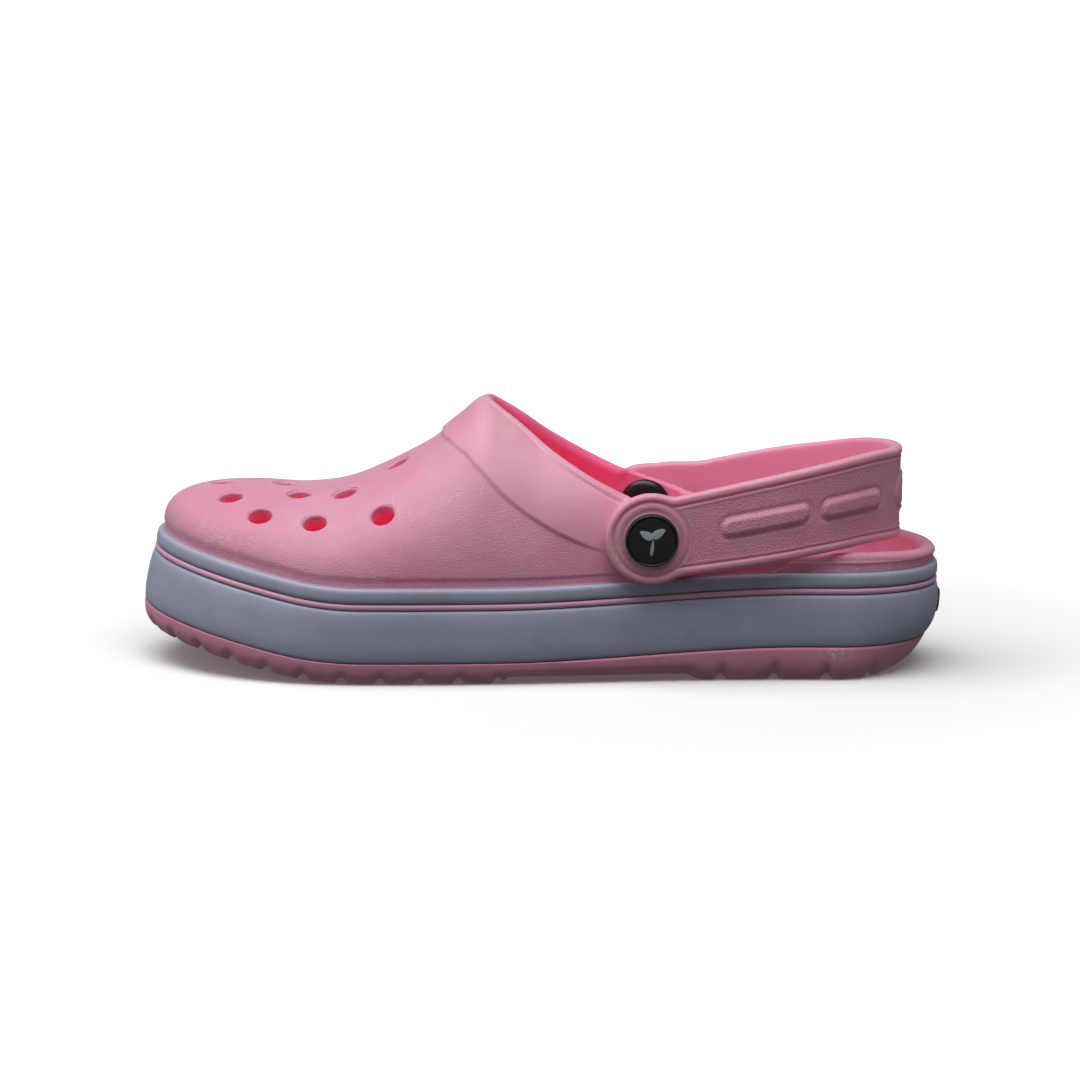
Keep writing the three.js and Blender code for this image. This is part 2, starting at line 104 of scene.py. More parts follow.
def through(stations, x):
    """A smooth curve through (x, value) stations, held flat past both ends."""
    xs, ys = np.array(stations, float).T
    slope = np.gradient(ys, xs)
    slope[1:-1] = (ys[2:] - ys[:-2]) / (xs[2:] - xs[:-2])
    x = np.clip(x, xs[0], xs[-1])
    i = np.clip(np.searchsorted(xs, x, side="right") - 1, 0, len(xs) - 2)
    span = xs[i + 1] - xs[i]
    t = (x - xs[i]) / span
    return ((2 * t**3 - 3 * t**2 + 1) * ys[i] + (t**3 - 2 * t**2 + t) * span * slope[i]
            + (3 * t**2 - 2 * t**3) * ys[i + 1] + (t**3 - t**2) * span * slope[i + 1])


def unit(v, least=1e-6):
    return v / np.maximum(least, np.linalg.norm(v, axis=-1, keepdims=True))


def eased(v, weight):
    """Each value round a loop averaged with its two neighbours, at this weight against theirs."""
    return (np.roll(v, 1, 0) + weight * v + np.roll(v, -1, 0)) / (weight + 2)


def side_half(sign, x):
    half, waist = (LATERAL_HALF, LATERAL_WAIST) if sign < 0 else (MEDIAL_HALF, MEDIAL_WAIST)
    return TOE_HALF + (half - TOE_HALF) * smooth((x - TOE_CENTRE) / (waist - TOE_CENTRE))


def even_halves(x, low, high, count):
    """Two edges that share x, resampled to count + 1 stations evenly along their mean length."""
    step = np.sqrt(np.diff(x)**2 + (np.diff(low)**2 + np.diff(high)**2) / 2)
    run = np.concatenate([[0], np.cumsum(step)])
    at = np.linspace(0, run[-1], count + 1)
    return np.interp(at, run, x), np.interp(at, run, low), np.interp(at, run, high), at


def loop(x, low, high):
    """A closed loop: along the low edge, and back along the high one."""
    return np.stack([np.concatenate([x, x[-2:0:-1]]), np.concatenate([low, high[-2:0:-1]])], 1)


def inward(ring):
    """Unit vectors to the inside of a loop from loop()."""
    run = unit(np.roll(ring, -1, 0) - np.roll(ring, 1, 0))
    return np.stack([-run[:, 1], run[:, 0]], 1)


def sole_halves(count):
    a = np.linspace(0, math.pi / 2, 900)
    along, across = np.cos(a)**(2 / OUTLINE_POWER), np.sin(a)**(2 / OUTLINE_POWER)
    mid = np.linspace(TOE_CENTRE, HEEL_CENTRE, 900)[1:-1]
    x = np.concatenate([TOE_CENTRE - TOE_REACH * along, mid,
                        (HEEL_CENTRE + HEEL_REACH * along)[::-1]])
    edges = []
    for sign in (-1, 1):
        toe = sign * TOE_HALF * across + TOE_SHIFT * along**2
        heel = sign * side_half(sign, HEEL_CENTRE) * across[::-1]
        edges.append(np.concatenate([toe, sign * side_half(sign, mid), heel]))
    return even_halves(x, edges[0], edges[1], count)


def lift(x):
    return HEEL_LIFT * smooth((x - LIFT_START) / (LIFT_END - LIFT_START))


def tuck(x, z):
    reach = HEEL_CENTRE + HEEL_REACH - TUCK_START
    return HEEL_TUCK * smooth((x - TUCK_START) / reach) * np.maximum(0, 1 - z / TUCK_HEIGHT)**3


def sprung(x, y, z):
    """Moves points of the flat sole to their place on the curled and lifted sole."""
    past = np.maximum(0, SPRING_START - x)
    ramp = np.minimum(past, SPRING_RAMP)
    rise = SPRING_SLOPE * (ramp**2 / (2 * SPRING_RAMP) + past - ramp)
    tilt = np.arctan(SPRING_SLOPE * ramp / SPRING_RAMP)
    up = z + lift(x) * np.clip(z / OUTSOLE_TOP, 0, 1)
    return np.stack([x + up * np.sin(tilt), y + 0 * x, rise + up * np.cos(tilt)], 1)


class Sole:
    """The sole's outline at some number of points round it, and the rings built on it."""

    def __init__(self, around):
        self.n = around
        x, low, high, run = sole_halves(around // 2)
        self.ring = loop(x, low, high)
        self.run = np.concatenate([run, run[-2:0:-1]])
        self.x = self.ring[:, 0]
        self.inward = inward(self.ring)
        self.middle = (self.ring[:, 1] + np.roll(self.ring[::-1], 1, 0)[:, 1]) / 2
        self.side = np.where(np.arange(around) <= around // 2, -1, 1)

    def at(self, inset, z):
        total = inset + tuck(self.x, z)
        p = self.ring + self.inward * np.reshape(total, (-1, 1))
        return sprung(p[:, 0], p[:, 1], z + 0 * p[:, 0])

    def spine(self, z):
        x = np.clip(self.x, SPINE_TOE, SPINE_HEEL)
        y = np.where(self.x < SPINE_HEEL, self.middle, 0)
        tip = TOE_SHIFT * ((SPINE_TOE - TOE_CENTRE) / TOE_REACH)**2
        y = np.where(self.x < SPINE_TOE, tip, y)
        return sprung(x, y, z + 0 * x)


def mesh_object(name, rows, sharp=40, mask=None):
    """A mesh from closed rows of points in mm; mask is its grain attribute, point by point."""
    rows = [np.asarray(r, float) for r in rows]
    count, width = len(rows), len(rows[0])
    a = np.arange(width)
    b = (a + 1) % width
    faces = [np.stack([r * width + a, r * width + b, (r + 1) * width + b, (r + 1) * width + a], 1)
             for r in range(count - 1)]
    return points_object(name, np.concatenate(rows), np.concatenate(faces), sharp, mask)


def points_object(name, points, faces, sharp=40, mask=None):
    """A mesh from points in mm; equal points are welded and normals face outwards."""
    mesh = bpy.data.meshes.new(name)
    place = (points + np.array([SHIFT, 0, 0])) * MM
    mesh.from_pydata(place.tolist(), [], np.asarray(faces).tolist())
    if mask is not None:
        mesh.attributes.new("grain", "FLOAT", "POINT").data.foreach_set(
            "value", np.asarray(mask, np.float32))
    bm = bmesh.new()
    bm.from_mesh(mesh)
    bmesh.ops.remove_doubles(bm, verts=bm.verts, dist=WELD)
    bmesh.ops.dissolve_degenerate(bm, dist=SLIVER, edges=bm.edges)
    bmesh.ops.recalc_face_normals(bm, faces=bm.faces)
    bm.to_mesh(mesh)
    bm.free()
    mesh.shade_smooth()
    mesh.set_sharp_from_angle(angle=math.radians(sharp))
    obj = bpy.data.objects.new(name, mesh)
    bpy.context.scene.collection.objects.link(obj)
    return obj


def lathe_y(name, profile, side, turn=96, sharp=40):
    """A turned piece on the rivet's axis, from (radius, distance from the middle plane)."""
    angle = np.arange(turn) / turn * 2 * math.pi
    rows = [np.stack([RIVET_X + r * np.cos(angle), np.full(turn, side * y),
                      RIVET_Z + r * np.sin(angle)], 1) for r, y in profile]
    return mesh_object(name, rows, sharp=sharp)


def cut(obj, cutters, sharp=40):
    """Takes the cutters out of obj."""
    for cutter in cutters:
        step = obj.modifiers.new("cut", "BOOLEAN")
        step.operation, step.solver, step.object = "DIFFERENCE", "MANIFOLD", cutter
    graph = bpy.context.evaluated_depsgraph_get()
    done = bpy.data.meshes.new_from_object(obj.evaluated_get(graph))
    obj.modifiers.clear()
    old = obj.data
    obj.data = done
    bpy.data.meshes.remove(old)
    for cutter in cutters:
        bpy.data.objects.remove(cutter)
    done.shade_smooth()
    done.set_sharp_from_angle(angle=math.radians(sharp))


def rivet_bore():
    """A drill on the rivet's axis, right through the shoe, that clears the barrel."""
    radius, reach = BARREL + BORE_GAP, 60
    return lathe_y("bore", [(0, -reach), (radius, -reach), (radius, reach), (0, reach)], 1, turn=64)


def nearest(points):
    """A search tree over these points."""
    tree = kdtree.KDTree(len(points))
    for i, point in enumerate(points):
        tree.insert(point, i)
    tree.balance()
    return tree


def set_attribute(obj, name, values):
    attribute = obj.data.attributes.get(name) or obj.data.attributes.new(name, "FLOAT", "POINT")
    attribute.data.foreach_set("value", values)


def cut_keeping_grain(obj, cutters, sharp):
    """Takes the cutters out of obj and gives each point left the grain of the nearest old one."""
    old = np.zeros(len(obj.data.vertices), np.float32)
    obj.data.attributes["grain"].data.foreach_get("value", old)
    tree = nearest([v.co.copy() for v in obj.data.vertices])
    cut(obj, cutters, sharp)
    set_attribute(obj, "grain", [float(old[tree.find(v.co)[1]]) for v in obj.data.vertices])


# ---------------------------------------------------------------- the sole

FRONT_NOTCHES, FRONT_NOTCH_END, FIRST_NOTCH = 12, -13, 6.7
REAR_NOTCHES, REAR_NOTCH_START = 6, 61
NOTCH_WIDTH, NOTCH_INSET, NOTCH_RISE = 1.9, 0.9, 1.7
LOBE_INSET, LOBE_REACH = 0.35, 6
TREAD_STEPS, TREAD_INSET = 26, 5.2
GROOVE_DEPTH, GROOVE_HALF, GROOVE_WAVE, GROOVE_PHASE = 2.1, 1.5, 1.2, 9.4


def notch_distance(sole):
    """Distance along the edge to the nearest tread notch, at each point of the outline."""
    x, _, _, run = sole_halves(1200)
    front = np.interp(FRONT_NOTCH_END, x, run)
    pitch = (front - FIRST_NOTCH) / (FRONT_NOTCHES - 1)
    rear = np.interp(REAR_NOTCH_START, x, run)
    heel_pitch = (run[-1] - rear) / (REAR_NOTCHES - 0.5)
    marks = [front - pitch * k for k in range(FRONT_NOTCHES)]
    marks += [rear + heel_pitch * k for k in range(REAR_NOTCHES)]
    return np.min(np.abs(sole.run[:, None] - np.array(marks)[None, :]), 1)


def build_outsole():
    """The tread: lugs between wavy grooves, a raised arch and an edge with notches."""
    sole = Sole(SOLE_POINTS)
    away = notch_distance(sole)
    notch = np.exp(-(away / NOTCH_WIDTH)**2)
    lobe = LOBE_INSET * np.clip(away / LOBE_REACH, 0, 1)**2
    arch = ARCH_RISE * smooth((sole.x - ARCH_FRONT) / 3) * smooth((ARCH_REAR - sole.x) / 6)
    rows = []
    edge = sole.at(TREAD_INSET, 0)
    middle = sole.spine(0)
    for k in range(TREAD_STEPS + 1):
        f = k / TREAD_STEPS
        row = middle + (edge - middle) * f
        wave = GROOVE_WAVE * math.sin(f * GROOVE_PHASE)
        groove = np.exp(-(np.abs(away - wave) / GROOVE_HALF)**4)
        lug = smooth((f - 0.12) / 0.1) if k < TREAD_STEPS else 1
        row[:, 2] += GROOVE_DEPTH * groove * lug * np.where(arch > 1, 0.4, 1) + arch
        row[:, 2] += 1.6 * math.exp(-(f / 0.09)**2) + 0.9 * math.exp(-((f - 0.72) / 0.035)**2)
        rows.append(row)
    wall = [(4.2, 0.25, 1), (3.3, 0.7, 1), (2.5, 1.3, 1), (1.9, 2.0, 0.85), (1.4, 2.8, 0.6),
            (1.0, 3.7, 0.3), (0.7, 4.7, 0.1), (0.5, 5.8, 0), (0.35, 6.7, 0), (0.3, 7.2, 0),
            (0.6, OUTSOLE_TOP, 0), (4, OUTSOLE_TOP, 0)]
    for inset, z, share in wall:
        row = sole.at(inset + share * (NOTCH_INSET * notch + lobe), z)
        row[:, 2] += share * (NOTCH_RISE * notch + arch)
        rows.append(row)
    rows.append(sole.spine(OUTSOLE_TOP))
    return mesh_object("outsole_shell", rows, sharp=60)


def build_midsole():
    """The lilac tray: thick band, stripe groove, thin band and the pocket for the upper."""
    sole = Sole(SOLE_POINTS)
    wall = [(4, 7.7), (1.3, 7.7), (0.7, 7.8), (0.3, 8.2), (0.1, 8.8), (-0.1, 10), (-0.3, 11.6),
            (-0.4, 13.2), (-0.4, 15.5), (-0.4, 18), (-0.35, 20), (-0.2, 22), (0, 23.5),
            (0.15, 24.2), (0.4, 24.75), (0.8, 25.05), (1.3, 25.12), (3.2, 25.1), (3.2, 27.5),
            (1.7, 27.5), (1.15, 27.53), (0.75, 27.7), (0.45, 28.05), (0.3, 28.5), (0.2, 29.2),
            (0.2, 30.4), (0.25, 31.1), (0.4, 31.65), (0.7, 32.1), (1.15, 32.35),
            (1.7, MIDSOLE_TOP), (4, MIDSOLE_TOP), (4.2, 31), (4.2, 15.3)]
    rows = [sole.spine(7.7)] + [sole.at(i, z) for i, z in wall] + [sole.spine(15)]
    return mesh_object("midsole_band", rows, sharp=50)


def build_stripe():
    sole = Sole(560)
    section = [(2.8, 25.35), (1.0, 25.35), (0.6, 25.5), (0.38, 25.8), (0.3, 26.3), (0.38, 26.8),
               (0.6, 27.1), (1.0, 27.25), (2.8, 27.25), (2.8, 25.35)]
    return mesh_object("stripe_ring", [sole.at(i, z) for i, z in section])


# ---------------------------------------------------------------- the upper

class Dome:
    """The upper's outer surface: sections across the shoe, rounded over up to its crest."""

    def __init__(self):
        base = Sole(8000)
        p = base.at(BASE_INSET, BASE_Z)
        half = base.n // 2
        low, high = p[:half + 1], np.concatenate([p[half:], p[:1]])[::-1]
        self.x = {-1: low[:, 0], 1: high[:, 0]}
        self.y = {-1: low[:, 1], 1: high[:, 1]}
        self.z = low[:, 2]
        self.tip, self.end = low[0, 0], low[-1, 0]

    def frame(self, x):
        """The section at x: its two base edges, middle, base, top and the power of its curve."""
        sides = {s: np.interp(x, self.x[s], self.y[s]) for s in (-1, 1)}
        base = np.interp(x, self.x[-1], self.z)
        ahead = np.clip((NOSE_START - x) / (NOSE_START - self.tip), 0, 1)
        nose = (1 - ahead**NOSE_POWER)**(1 / NOSE_POWER)
        tail = np.clip(1 - (np.maximum(0, x - HEEL_ROUND_START)
                            / (self.end - HEEL_ROUND_START))**4, 0, 1)**0.25
        round_ = np.where(x < NOSE_START, nose, np.where(x > HEEL_ROUND_START, tail, 1))
        middle = (sides[-1] + sides[1]) / 2 + CREST_SHIFT * round_
        top = base + (through(CREST, x) - base) * round_
        power = 2.2 + 0.5 * smooth((x + 20) / 50) + 1.4 * smooth((x - 40) / 50)
        return sides, middle, base, np.maximum(top, base + 1e-3), power

    def from_angle(self, x, angle, side):
        """The surface point at x whose section angle runs from 0 at the base to 90 at the crest."""
        sides, middle, base, top, power = self.frame(x)
        edge = np.where(side < 0, sides[-1], sides[1])
        across = np.clip(np.cos(angle), 0, 1)**(2 / power)
        up = np.clip(np.sin(angle), 0, 1)**(2 / power)
        return np.stack([x, middle + (edge - middle) * across, base + (top - base) * up], -1)

    def from_plan(self, x, y):
        """The surface point above x and y."""
        sides, middle, base, top, power = self.frame(x)
        edge = np.where(y < middle, sides[-1], sides[1])
        w = np.clip((y - middle) / (edge - middle + 1e-9), 0, 1)
        return np.stack([x, y, base + (top - base) * (1 - w**power)**(1 / power)], -1)

    def shares(self, p, side=None):
        """Where p is in its section, as shares of the section's half width and height."""
        sides, middle, base, top, power = self.frame(p[..., 0])
        lateral = p[..., 1] < middle if side is None else side < 0
        edge = np.where(lateral, middle - sides[-1], sides[1] - middle)
        across = np.abs(p[..., 1] - middle) / np.maximum(edge, TINY)
        up = np.maximum(0, p[..., 2] - base) / np.maximum(top - base, TINY)
        return across, up, power, middle, base

    def level(self, p):
        """1 on the surface, less inside it and more outside, and the section's middle and base."""
        across, up, power, middle, base = self.shares(p)
        return np.maximum(TINY, (across**power + up**power)**(1 / power)), middle, base

    def onto(self, p):
        """Points moved on to the surface, within their own sections."""
        scale, middle, base = self.level(p)
        q = p.copy()
        q[..., 1] = middle + (p[..., 1] - middle) / scale
        q[..., 2] = base + (p[..., 2] - base) / scale
        return q

    def angle(self, p, side):
        """The section angle that from_angle() would need for these points."""
        across, up, power, _, _ = self.shares(p, side)
        return np.arctan2(up**(power / 2), across**(power / 2))

    def normal(self, p, step=0.05):
        g = np.zeros_like(p)
        for k in range(3):
            d = np.zeros(3)
            d[k] = step
            g[..., k] = self.level(p + d)[0] - self.level(p - d)[0]
        return unit(g, 1e-9)


def grid_normals(grid):
    """Unit normals of a grid of points [row, column] that closes round its columns."""
    across = np.roll(grid, -1, 1) - np.roll(grid, 1, 1)
    along = np.gradient(grid, axis=0)
    return unit(np.cross(across, along), 1e-9)


def rim_columns(dome, sole):
    """For each point of the sole's outline, its point on the rim of the opening."""
    xs = np.linspace(RIM[0][0], -10, 4001)
    front = xs[np.argmax(through(RIM, xs) < dome.frame(xs)[3])]
    xs = np.linspace(125, dome.end, 4001)
    rear = xs[np.argmax(through(RIM, xs) > dome.frame(xs)[3])]
    x = front + (rear - front) * (1 - np.cos(np.linspace(0, math.pi, 3000))) / 2
    _, _, base, top, power = dome.frame(x)
    h = np.clip((through(RIM, x) - base) / (top - base), 0, 1)
    h[0] = h[-1] = 1
    angle = np.arcsin(h**(power / 2))
    edges = {s: dome.from_angle(x, angle, s * np.ones_like(x)) for s in (-1, 1)}
    rim_run = np.concatenate([[0], np.cumsum(np.linalg.norm(np.diff(edges[-1], axis=0), axis=1))])
    half = sole.n // 2
    base_at = sole.run[:half + 1]
    base_join = np.interp(RIM_JOIN, sole.x[:half + 1], base_at)
    rim_join = np.interp(RIM_JOIN, x, rim_run)
    rear_rate = (rim_run[-1] - rim_join) / (base_at[-1] - base_join)
    t = np.clip(base_at / base_join, 0, 1)
    hermite = ((t**3 - 2 * t**2 + t) * 0.3 * base_join + (3 * t**2 - 2 * t**3) * rim_join
               + (t**3 - t**2) * rear_rate * base_join)
    target = np.where(base_at < base_join, hermite, rim_join + (base_at - base_join) * rear_rate)
    at_x = np.interp(target, rim_run, x)
    picks = {s: np.stack([np.interp(target, rim_run, edges[s][:, k]) for k in range(3)], 1)
             for s in (-1, 1)}
    return np.concatenate([picks[-1], picks[1][-2:0:-1]]), np.concatenate([at_x, at_x[-2:0:-1]])


CAP_RADIUS = WALL / 2
# The deep attribute marks the foam's inside, from this far under the skin and this far forward; the
# materials paint it hot pink with a faint glow, painted light for the light that bounces round
# inside.
DEEP_START, DEEP_BLEND = 1.3, 1.5
DEEP_REAR, DEEP_FADE = 75, 60
COLLAR_ROWS = 44
BODY_ROWS = 48
BODY_CROWDING = 1.25


def upper_grid(dome, sole):
    """Rows of the outer surface from the rim down to the base, and each point's rim distance."""
    rim, rim_x = rim_columns(dome, sole)
    side = sole.side
    base = sole.at(BASE_INSET, BASE_Z)
    upright = smooth((rim_x - 50) / 30)[:, None]
    wall_rim = base.copy()
    wall_rim[:, 2] = through(RIM, base[:, 0])
    run = unit(np.roll(rim, -1, 0) - np.roll(rim, 1, 0))
    safe = rim.copy()
    safe[:, 0] = np.minimum(safe[:, 0], 120)
    normal = dome.normal(dome.onto(safe))
    go = np.cross(normal, run)
    outward = np.stack([rim[:, 0] - 35, rim[:, 1], rim[:, 2] - 90], 1)
    go *= np.sign(np.sum(go * outward, 1, keepdims=True))
    for _ in range(14):
        go = eased(go, 1)
    go = unit(go)
    depth = (through(RIM, rim_x) - sprung(rim_x, 0 * rim_x, BASE_Z + 0 * rim_x)[:, 2]) * 1.03
    wide = through(COLLAR, rim_x) + COLLAR_MARGIN
    reach = np.where(rim_x < 20, wide, np.minimum(wide, COLLAR_DEPTH_SHARE * depth))
    for _ in range(40):
        reach = eased(reach, 1)
    step = (reach - CAP_RADIUS) / COLLAR_ROWS
    grid, distance = [], []
    p = rim.copy()
    sub = 6
    for _ in range(sub):
        q = dome.onto(p + go * CAP_RADIUS / sub)
        go = unit(q - p)
        p = q
    for k in range(COLLAR_ROWS + 1):
        d = CAP_RADIUS + step * k
        wall = wall_rim.copy()
        wall[:, 2] -= d
        grid.append(p * (1 - upright) + wall * upright)
        distance.append(d)
        q = dome.onto(p + go * step[:, None])
        go = eased(unit(q - p), 2)
        p = dome.onto(eased(q, 2))
    collar = grid[-1]
    t = np.linspace(0, 1, 260)[:, None]
    g = t**2.6
    plan_x = base[None, :, 0] + (collar[None, :, 0] - base[None, :, 0]) * g
    plan_y = base[None, :, 1] + (collar[None, :, 1] - base[None, :, 1]) * g
    plan = dome.from_plan(plan_x, plan_y)
    angle_top = dome.angle(collar, side)
    arc_x = base[None, :, 0] + (collar[None, :, 0] - base[None, :, 0]) * t
    arc = dome.from_angle(arc_x, angle_top[None, :] * t, side[None, :] + 0 * arc_x)
    straight = base[None] + (collar - base)[None] * t[:, :, None]
    blend = smooth((base[:, 0] + 75) / 55)[None, :, None]
    paths = plan * (1 - blend) + arc * blend
    mixed = (blend[0, :, 0] > 0) & (blend[0, :, 0] < 1)
    paths[:, mixed] = dome.onto(paths[:, mixed])
    paths = paths * (1 - upright[None]) + straight * upright[None]
    paths[0], paths[-1] = base, collar
    length = np.concatenate([np.zeros((1, sole.n)), np.cumsum(
        np.linalg.norm(np.diff(paths, axis=0), axis=2), 0)])
    for k in range(1, BODY_ROWS + 1):
        share = (1 - k / BODY_ROWS)**BODY_CROWDING
        row = np.empty((sole.n, 3))
        for c in range(sole.n):
            at = share * length[-1, c]
            for axis in range(3):
                row[c, axis] = np.interp(at, length[:, c], paths[:, c, axis])
        grid.append(row)
        distance.append(reach + (length[-1] - share * length[-1]))
    return np.array(grid), np.array(distance), rim_x


def boss(points, face, radius, blend, side, push_out):
    """Flattens the points round the rivet on to a face square to its axis."""
    r = np.hypot(points[..., 0] - RIVET_X, points[..., 2] - RIVET_Z)
    near = (points[..., 1] * side > 0) & (r < radius + blend)
    share = 1 - smooth((r - radius) / blend)
    flat = points.copy()
    flat[..., 1] = points[..., 1] * (1 - share) + side * face * share
    if push_out:
        near &= np.abs(points[..., 1]) < face
    return np.where(near[..., None], flat, points)


def build_upper():
    """The pink moulding, from the footbed up inside, over the rim and down to the sole."""
    sole = Sole(528)
    dome = Dome()
    grid, away, rim_x = upper_grid(dome, sole)
    normals = grid_normals(grid)
    if np.median(np.sum(normals * (grid - np.array([20, 0, 30])), -1)) < 0:
        normals = -normals
    front = 1 - smooth((rim_x - 20) / 12)[None, :]
    past = away - through(COLLAR, rim_x)[None, :]
    off = smooth(past / 1.3)
    step = COLLAR_STEP * (1 - off) - COLLAR_DIP * off * (1 - smooth((past - 4) / 16))
    above = grid[..., 2] - sole.at(BASE_INSET, BASE_Z)[None, :, 2]
    welt = -WELT_DEPTH * (1 - smooth((above - 2.3) / 0.8))
    bead = -0.5 * np.exp(-((away - 3.9) / 0.55)**2) + 0.12 * np.exp(-((away - 2.4) / 1.0)**2)
    heel_line = grid[..., 0] - (75 + (grid[..., 2] - 36) * 1.67)
    cup = (0.35 * smooth(heel_line / 1.6) - 0.55 * (1 - smooth(heel_line / 1.6))
           * smooth((grid[..., 0] - 50) / 15)) * smooth((grid[..., 0] - 45) / 15)
    lip = smooth((away - CAP_RADIUS) / 1.5)
    flare = HEEL_FLARE * smooth((grid[..., 2] - 36) / 6) * smooth((grid[..., 0] - 110) / 20)
    relief = (step + bead) * front + cup * lip + welt + flare
    outer = grid + normals * relief[..., None]
    for side in (-1, 1):
        outer = boss(outer, FACE[side], FACE_RADIUS, FACE_BLEND, side, True)
    cap_angle = np.linspace(0, math.pi, 13)[1:-1]
    out = normals[0]
    down = grid[1] - grid[0]
    down = unit(down - out * np.sum(down * out, 1, keepdims=True))
    centre = grid[0] - out * CAP_RADIUS
    start = outer[0] - grid[0]
    cap = [centre + CAP_RADIUS * (math.cos(a) * out - math.sin(a) * down)
           + start * (1 + math.cos(a)) / 2 for a in cap_angle]
    for side in (-1, 1):
        cap = [boss(row, SEAT[side], SEAT_RADIUS, SEAT_BLEND, side, True) for row in cap]
    picks = list(range(0, COLLAR_ROWS, 2)) + list(range(COLLAR_ROWS, len(grid) - 1, 4))
    inner = []
    for k in picks:
        row = grid[k] - normals[k] * WALL
        for side in (-1, 1):
            row = boss(row, SEAT[side], SEAT_RADIUS, SEAT_BLEND, side, False)
        inner.append(row)
    bed = [sole.at(WALL + BASE_INSET + 0.3, 31), sole.at(6.9, 28), sole.at(7.6, 25),
           sole.at(8.2, 23.2), sole.at(9.2, 21.6), sole.at(10.4, 20.6), sole.at(12, 20.1)]
    floor_edge, floor_middle = sole.at(12, FOOTBED), sole.spine(FOOTBED)
    to_heel = smooth((sole.x - 60) / 30)
    for k in range(1, BED_STEPS):
        f = k / BED_STEPS
        row = floor_edge + (floor_middle - floor_edge) * f
        row[:, 2] -= CUP_DEPTH * smooth(f / 0.5) * to_heel
        bed.append(row)
    last = floor_middle.copy()
    last[:, 2] -= CUP_DEPTH * to_heel
    bed.append(last)
    skirt = [sole.at(2.1, 32.5), sole.at(2.5, 32.45), sole.at(4.25, 32.5), sole.at(4.4, 24),
             sole.at(4.5, 17), sole.at(6, 15.3), sole.spine(15.3)]
    rows = bed[::-1] + inner[::-1] + cap[::-1] + list(outer) + skirt
    grain = [np.zeros(sole.n)] * (len(bed) + len(inner) + len(cap))
    grain += [front[0] * smooth((a - 0.6) / 1.2) + (1 - front[0]) * 0.25 for a in past]
    grain += [np.zeros(sole.n)] * len(skirt)
    shell = mesh_object("upper_foam", rows, sharp=45, mask=np.concatenate(grain))
    cutters = [vent_cutter(dome, x, off) for x, off in VENTS] + [rivet_bore()]
    cut_keeping_grain(shell, cutters, sharp=38)
    # Painted light: deep marks points under the outer skin towards the front, inside the shell and
    # in the vent walls, which the material paints hot pink and lets glow.
    skin = nearest((np.concatenate(outer) + np.array([SHIFT, 0, 0])) * MM)
    deep = [float(smooth((skin.find(v.co)[2] / MM - DEEP_START) / DEEP_BLEND))
            * float(smooth((DEEP_REAR - v.co.x / MM) / DEEP_FADE)) for v in shell.data.vertices]
    set_attribute(shell, "deep", deep)
    return shell


def vent_cutter(dome, x, offset):
    """A drill for one vent hole, flared where it meets the surface, square to the surface."""
    x_arr = np.array([float(x)])
    middle = CREST_SHIFT + TOE_SHIFT * (min(0, x - TOE_CENTRE) / TOE_REACH)**2
    at = dome.from_plan(x_arr, np.array([middle + offset]))[0]
    normal = dome.normal(at[None])[0]
    f, sag = VENT_FILLET, VENT_SAG
    profile = [(0, -16), (VENT_RADIUS + 0.5, -16), (VENT_RADIUS + 0.15, -4), (VENT_RADIUS, -2.5)]
    profile += [(VENT_RADIUS + f - f * math.cos(a), -f - sag + f * math.sin(a))
                for a in np.linspace(0, math.pi / 2 - 0.12, 7)]
    profile += [(VENT_RADIUS + f, 4), (0, 4)]
    turn = 40
    angle = np.arange(turn) / turn * 2 * math.pi
    aim = np.array(Vector(normal).to_track_quat("Z", "Y").to_matrix())
    rows = [np.stack([r * np.cos(angle), r * np.sin(angle), np.full(turn, h)], 1) @ aim.T + at
            for r, h in profile]
    return mesh_object("drill", rows)


# ---------------------------------------------------------------- the strap

def catmull(points, count=4000):
    """A centripetal Catmull-Rom curve through plan points, evenly spaced along its length."""
    p = np.array(points, float)
    p = np.vstack([2 * p[0] - p[1], p, 2 * p[-1] - p[-2]])
    out = []
    for i in range(1, len(p) - 2):
        a, b, c, d = p[i - 1:i + 3]
        t0, t1, t2 = (np.linalg.norm(q - r)**0.5 for q, r in ((b, a), (c, b), (d, c)))
        m1 = ((b - a) / t0 - (c - a) / (t0 + t1) + (c - b) / t1) * t1
        m2 = ((c - b) / t1 - (d - b) / (t1 + t2) + (d - c) / t2) * t1
        t = np.linspace(0, 1, 400)[:, None]
        out.append((2 * t**3 - 3 * t**2 + 1) * b + (t**3 - 2 * t**2 + t) * m1
                   + (3 * t**2 - 2 * t**3) * c + (t**3 - t**2) * m2)
    path = np.vstack(out)
    run = np.concatenate([[0], np.cumsum(np.linalg.norm(np.diff(path, axis=0), axis=1))])
    at = np.linspace(0, run[-1], count)
    return at, np.interp(at, run, path[:, 0]), np.interp(at, run, path[:, 1])


PATH_RUN, PATH_X, PATH_Y = catmull(STRAP_LATERAL + STRAP_BACK + STRAP_MEDIAL)
PATH_LENGTH = PATH_RUN[-1]
TURN_X, TURN_Y = np.gradient(PATH_X, PATH_RUN), np.gradient(PATH_Y, PATH_RUN)


def strap_point(s, height, out):
    """A point of the strap: s along its curve, height above the ground, out from its middle."""
    inside = np.clip(s, 0, PATH_LENGTH)
    x, y = np.interp(inside, PATH_RUN, PATH_X), np.interp(inside, PATH_RUN, PATH_Y)
    tx, ty = np.interp(inside, PATH_RUN, TURN_X), np.interp(inside, PATH_RUN, TURN_Y)
    flat = smooth((np.minimum(s, PATH_LENGTH - s) - 8) / 20)
    sign = np.where(s < PATH_LENGTH / 2, 1, -1)
    tx, ty = tx * flat + sign * (1 - flat), ty * flat
    size = np.hypot(tx, ty)
    tx, ty = tx / size, ty / size
    x = x + (s - inside) * sign
    return np.stack([x + ty * out, y - tx * out, height], -1)


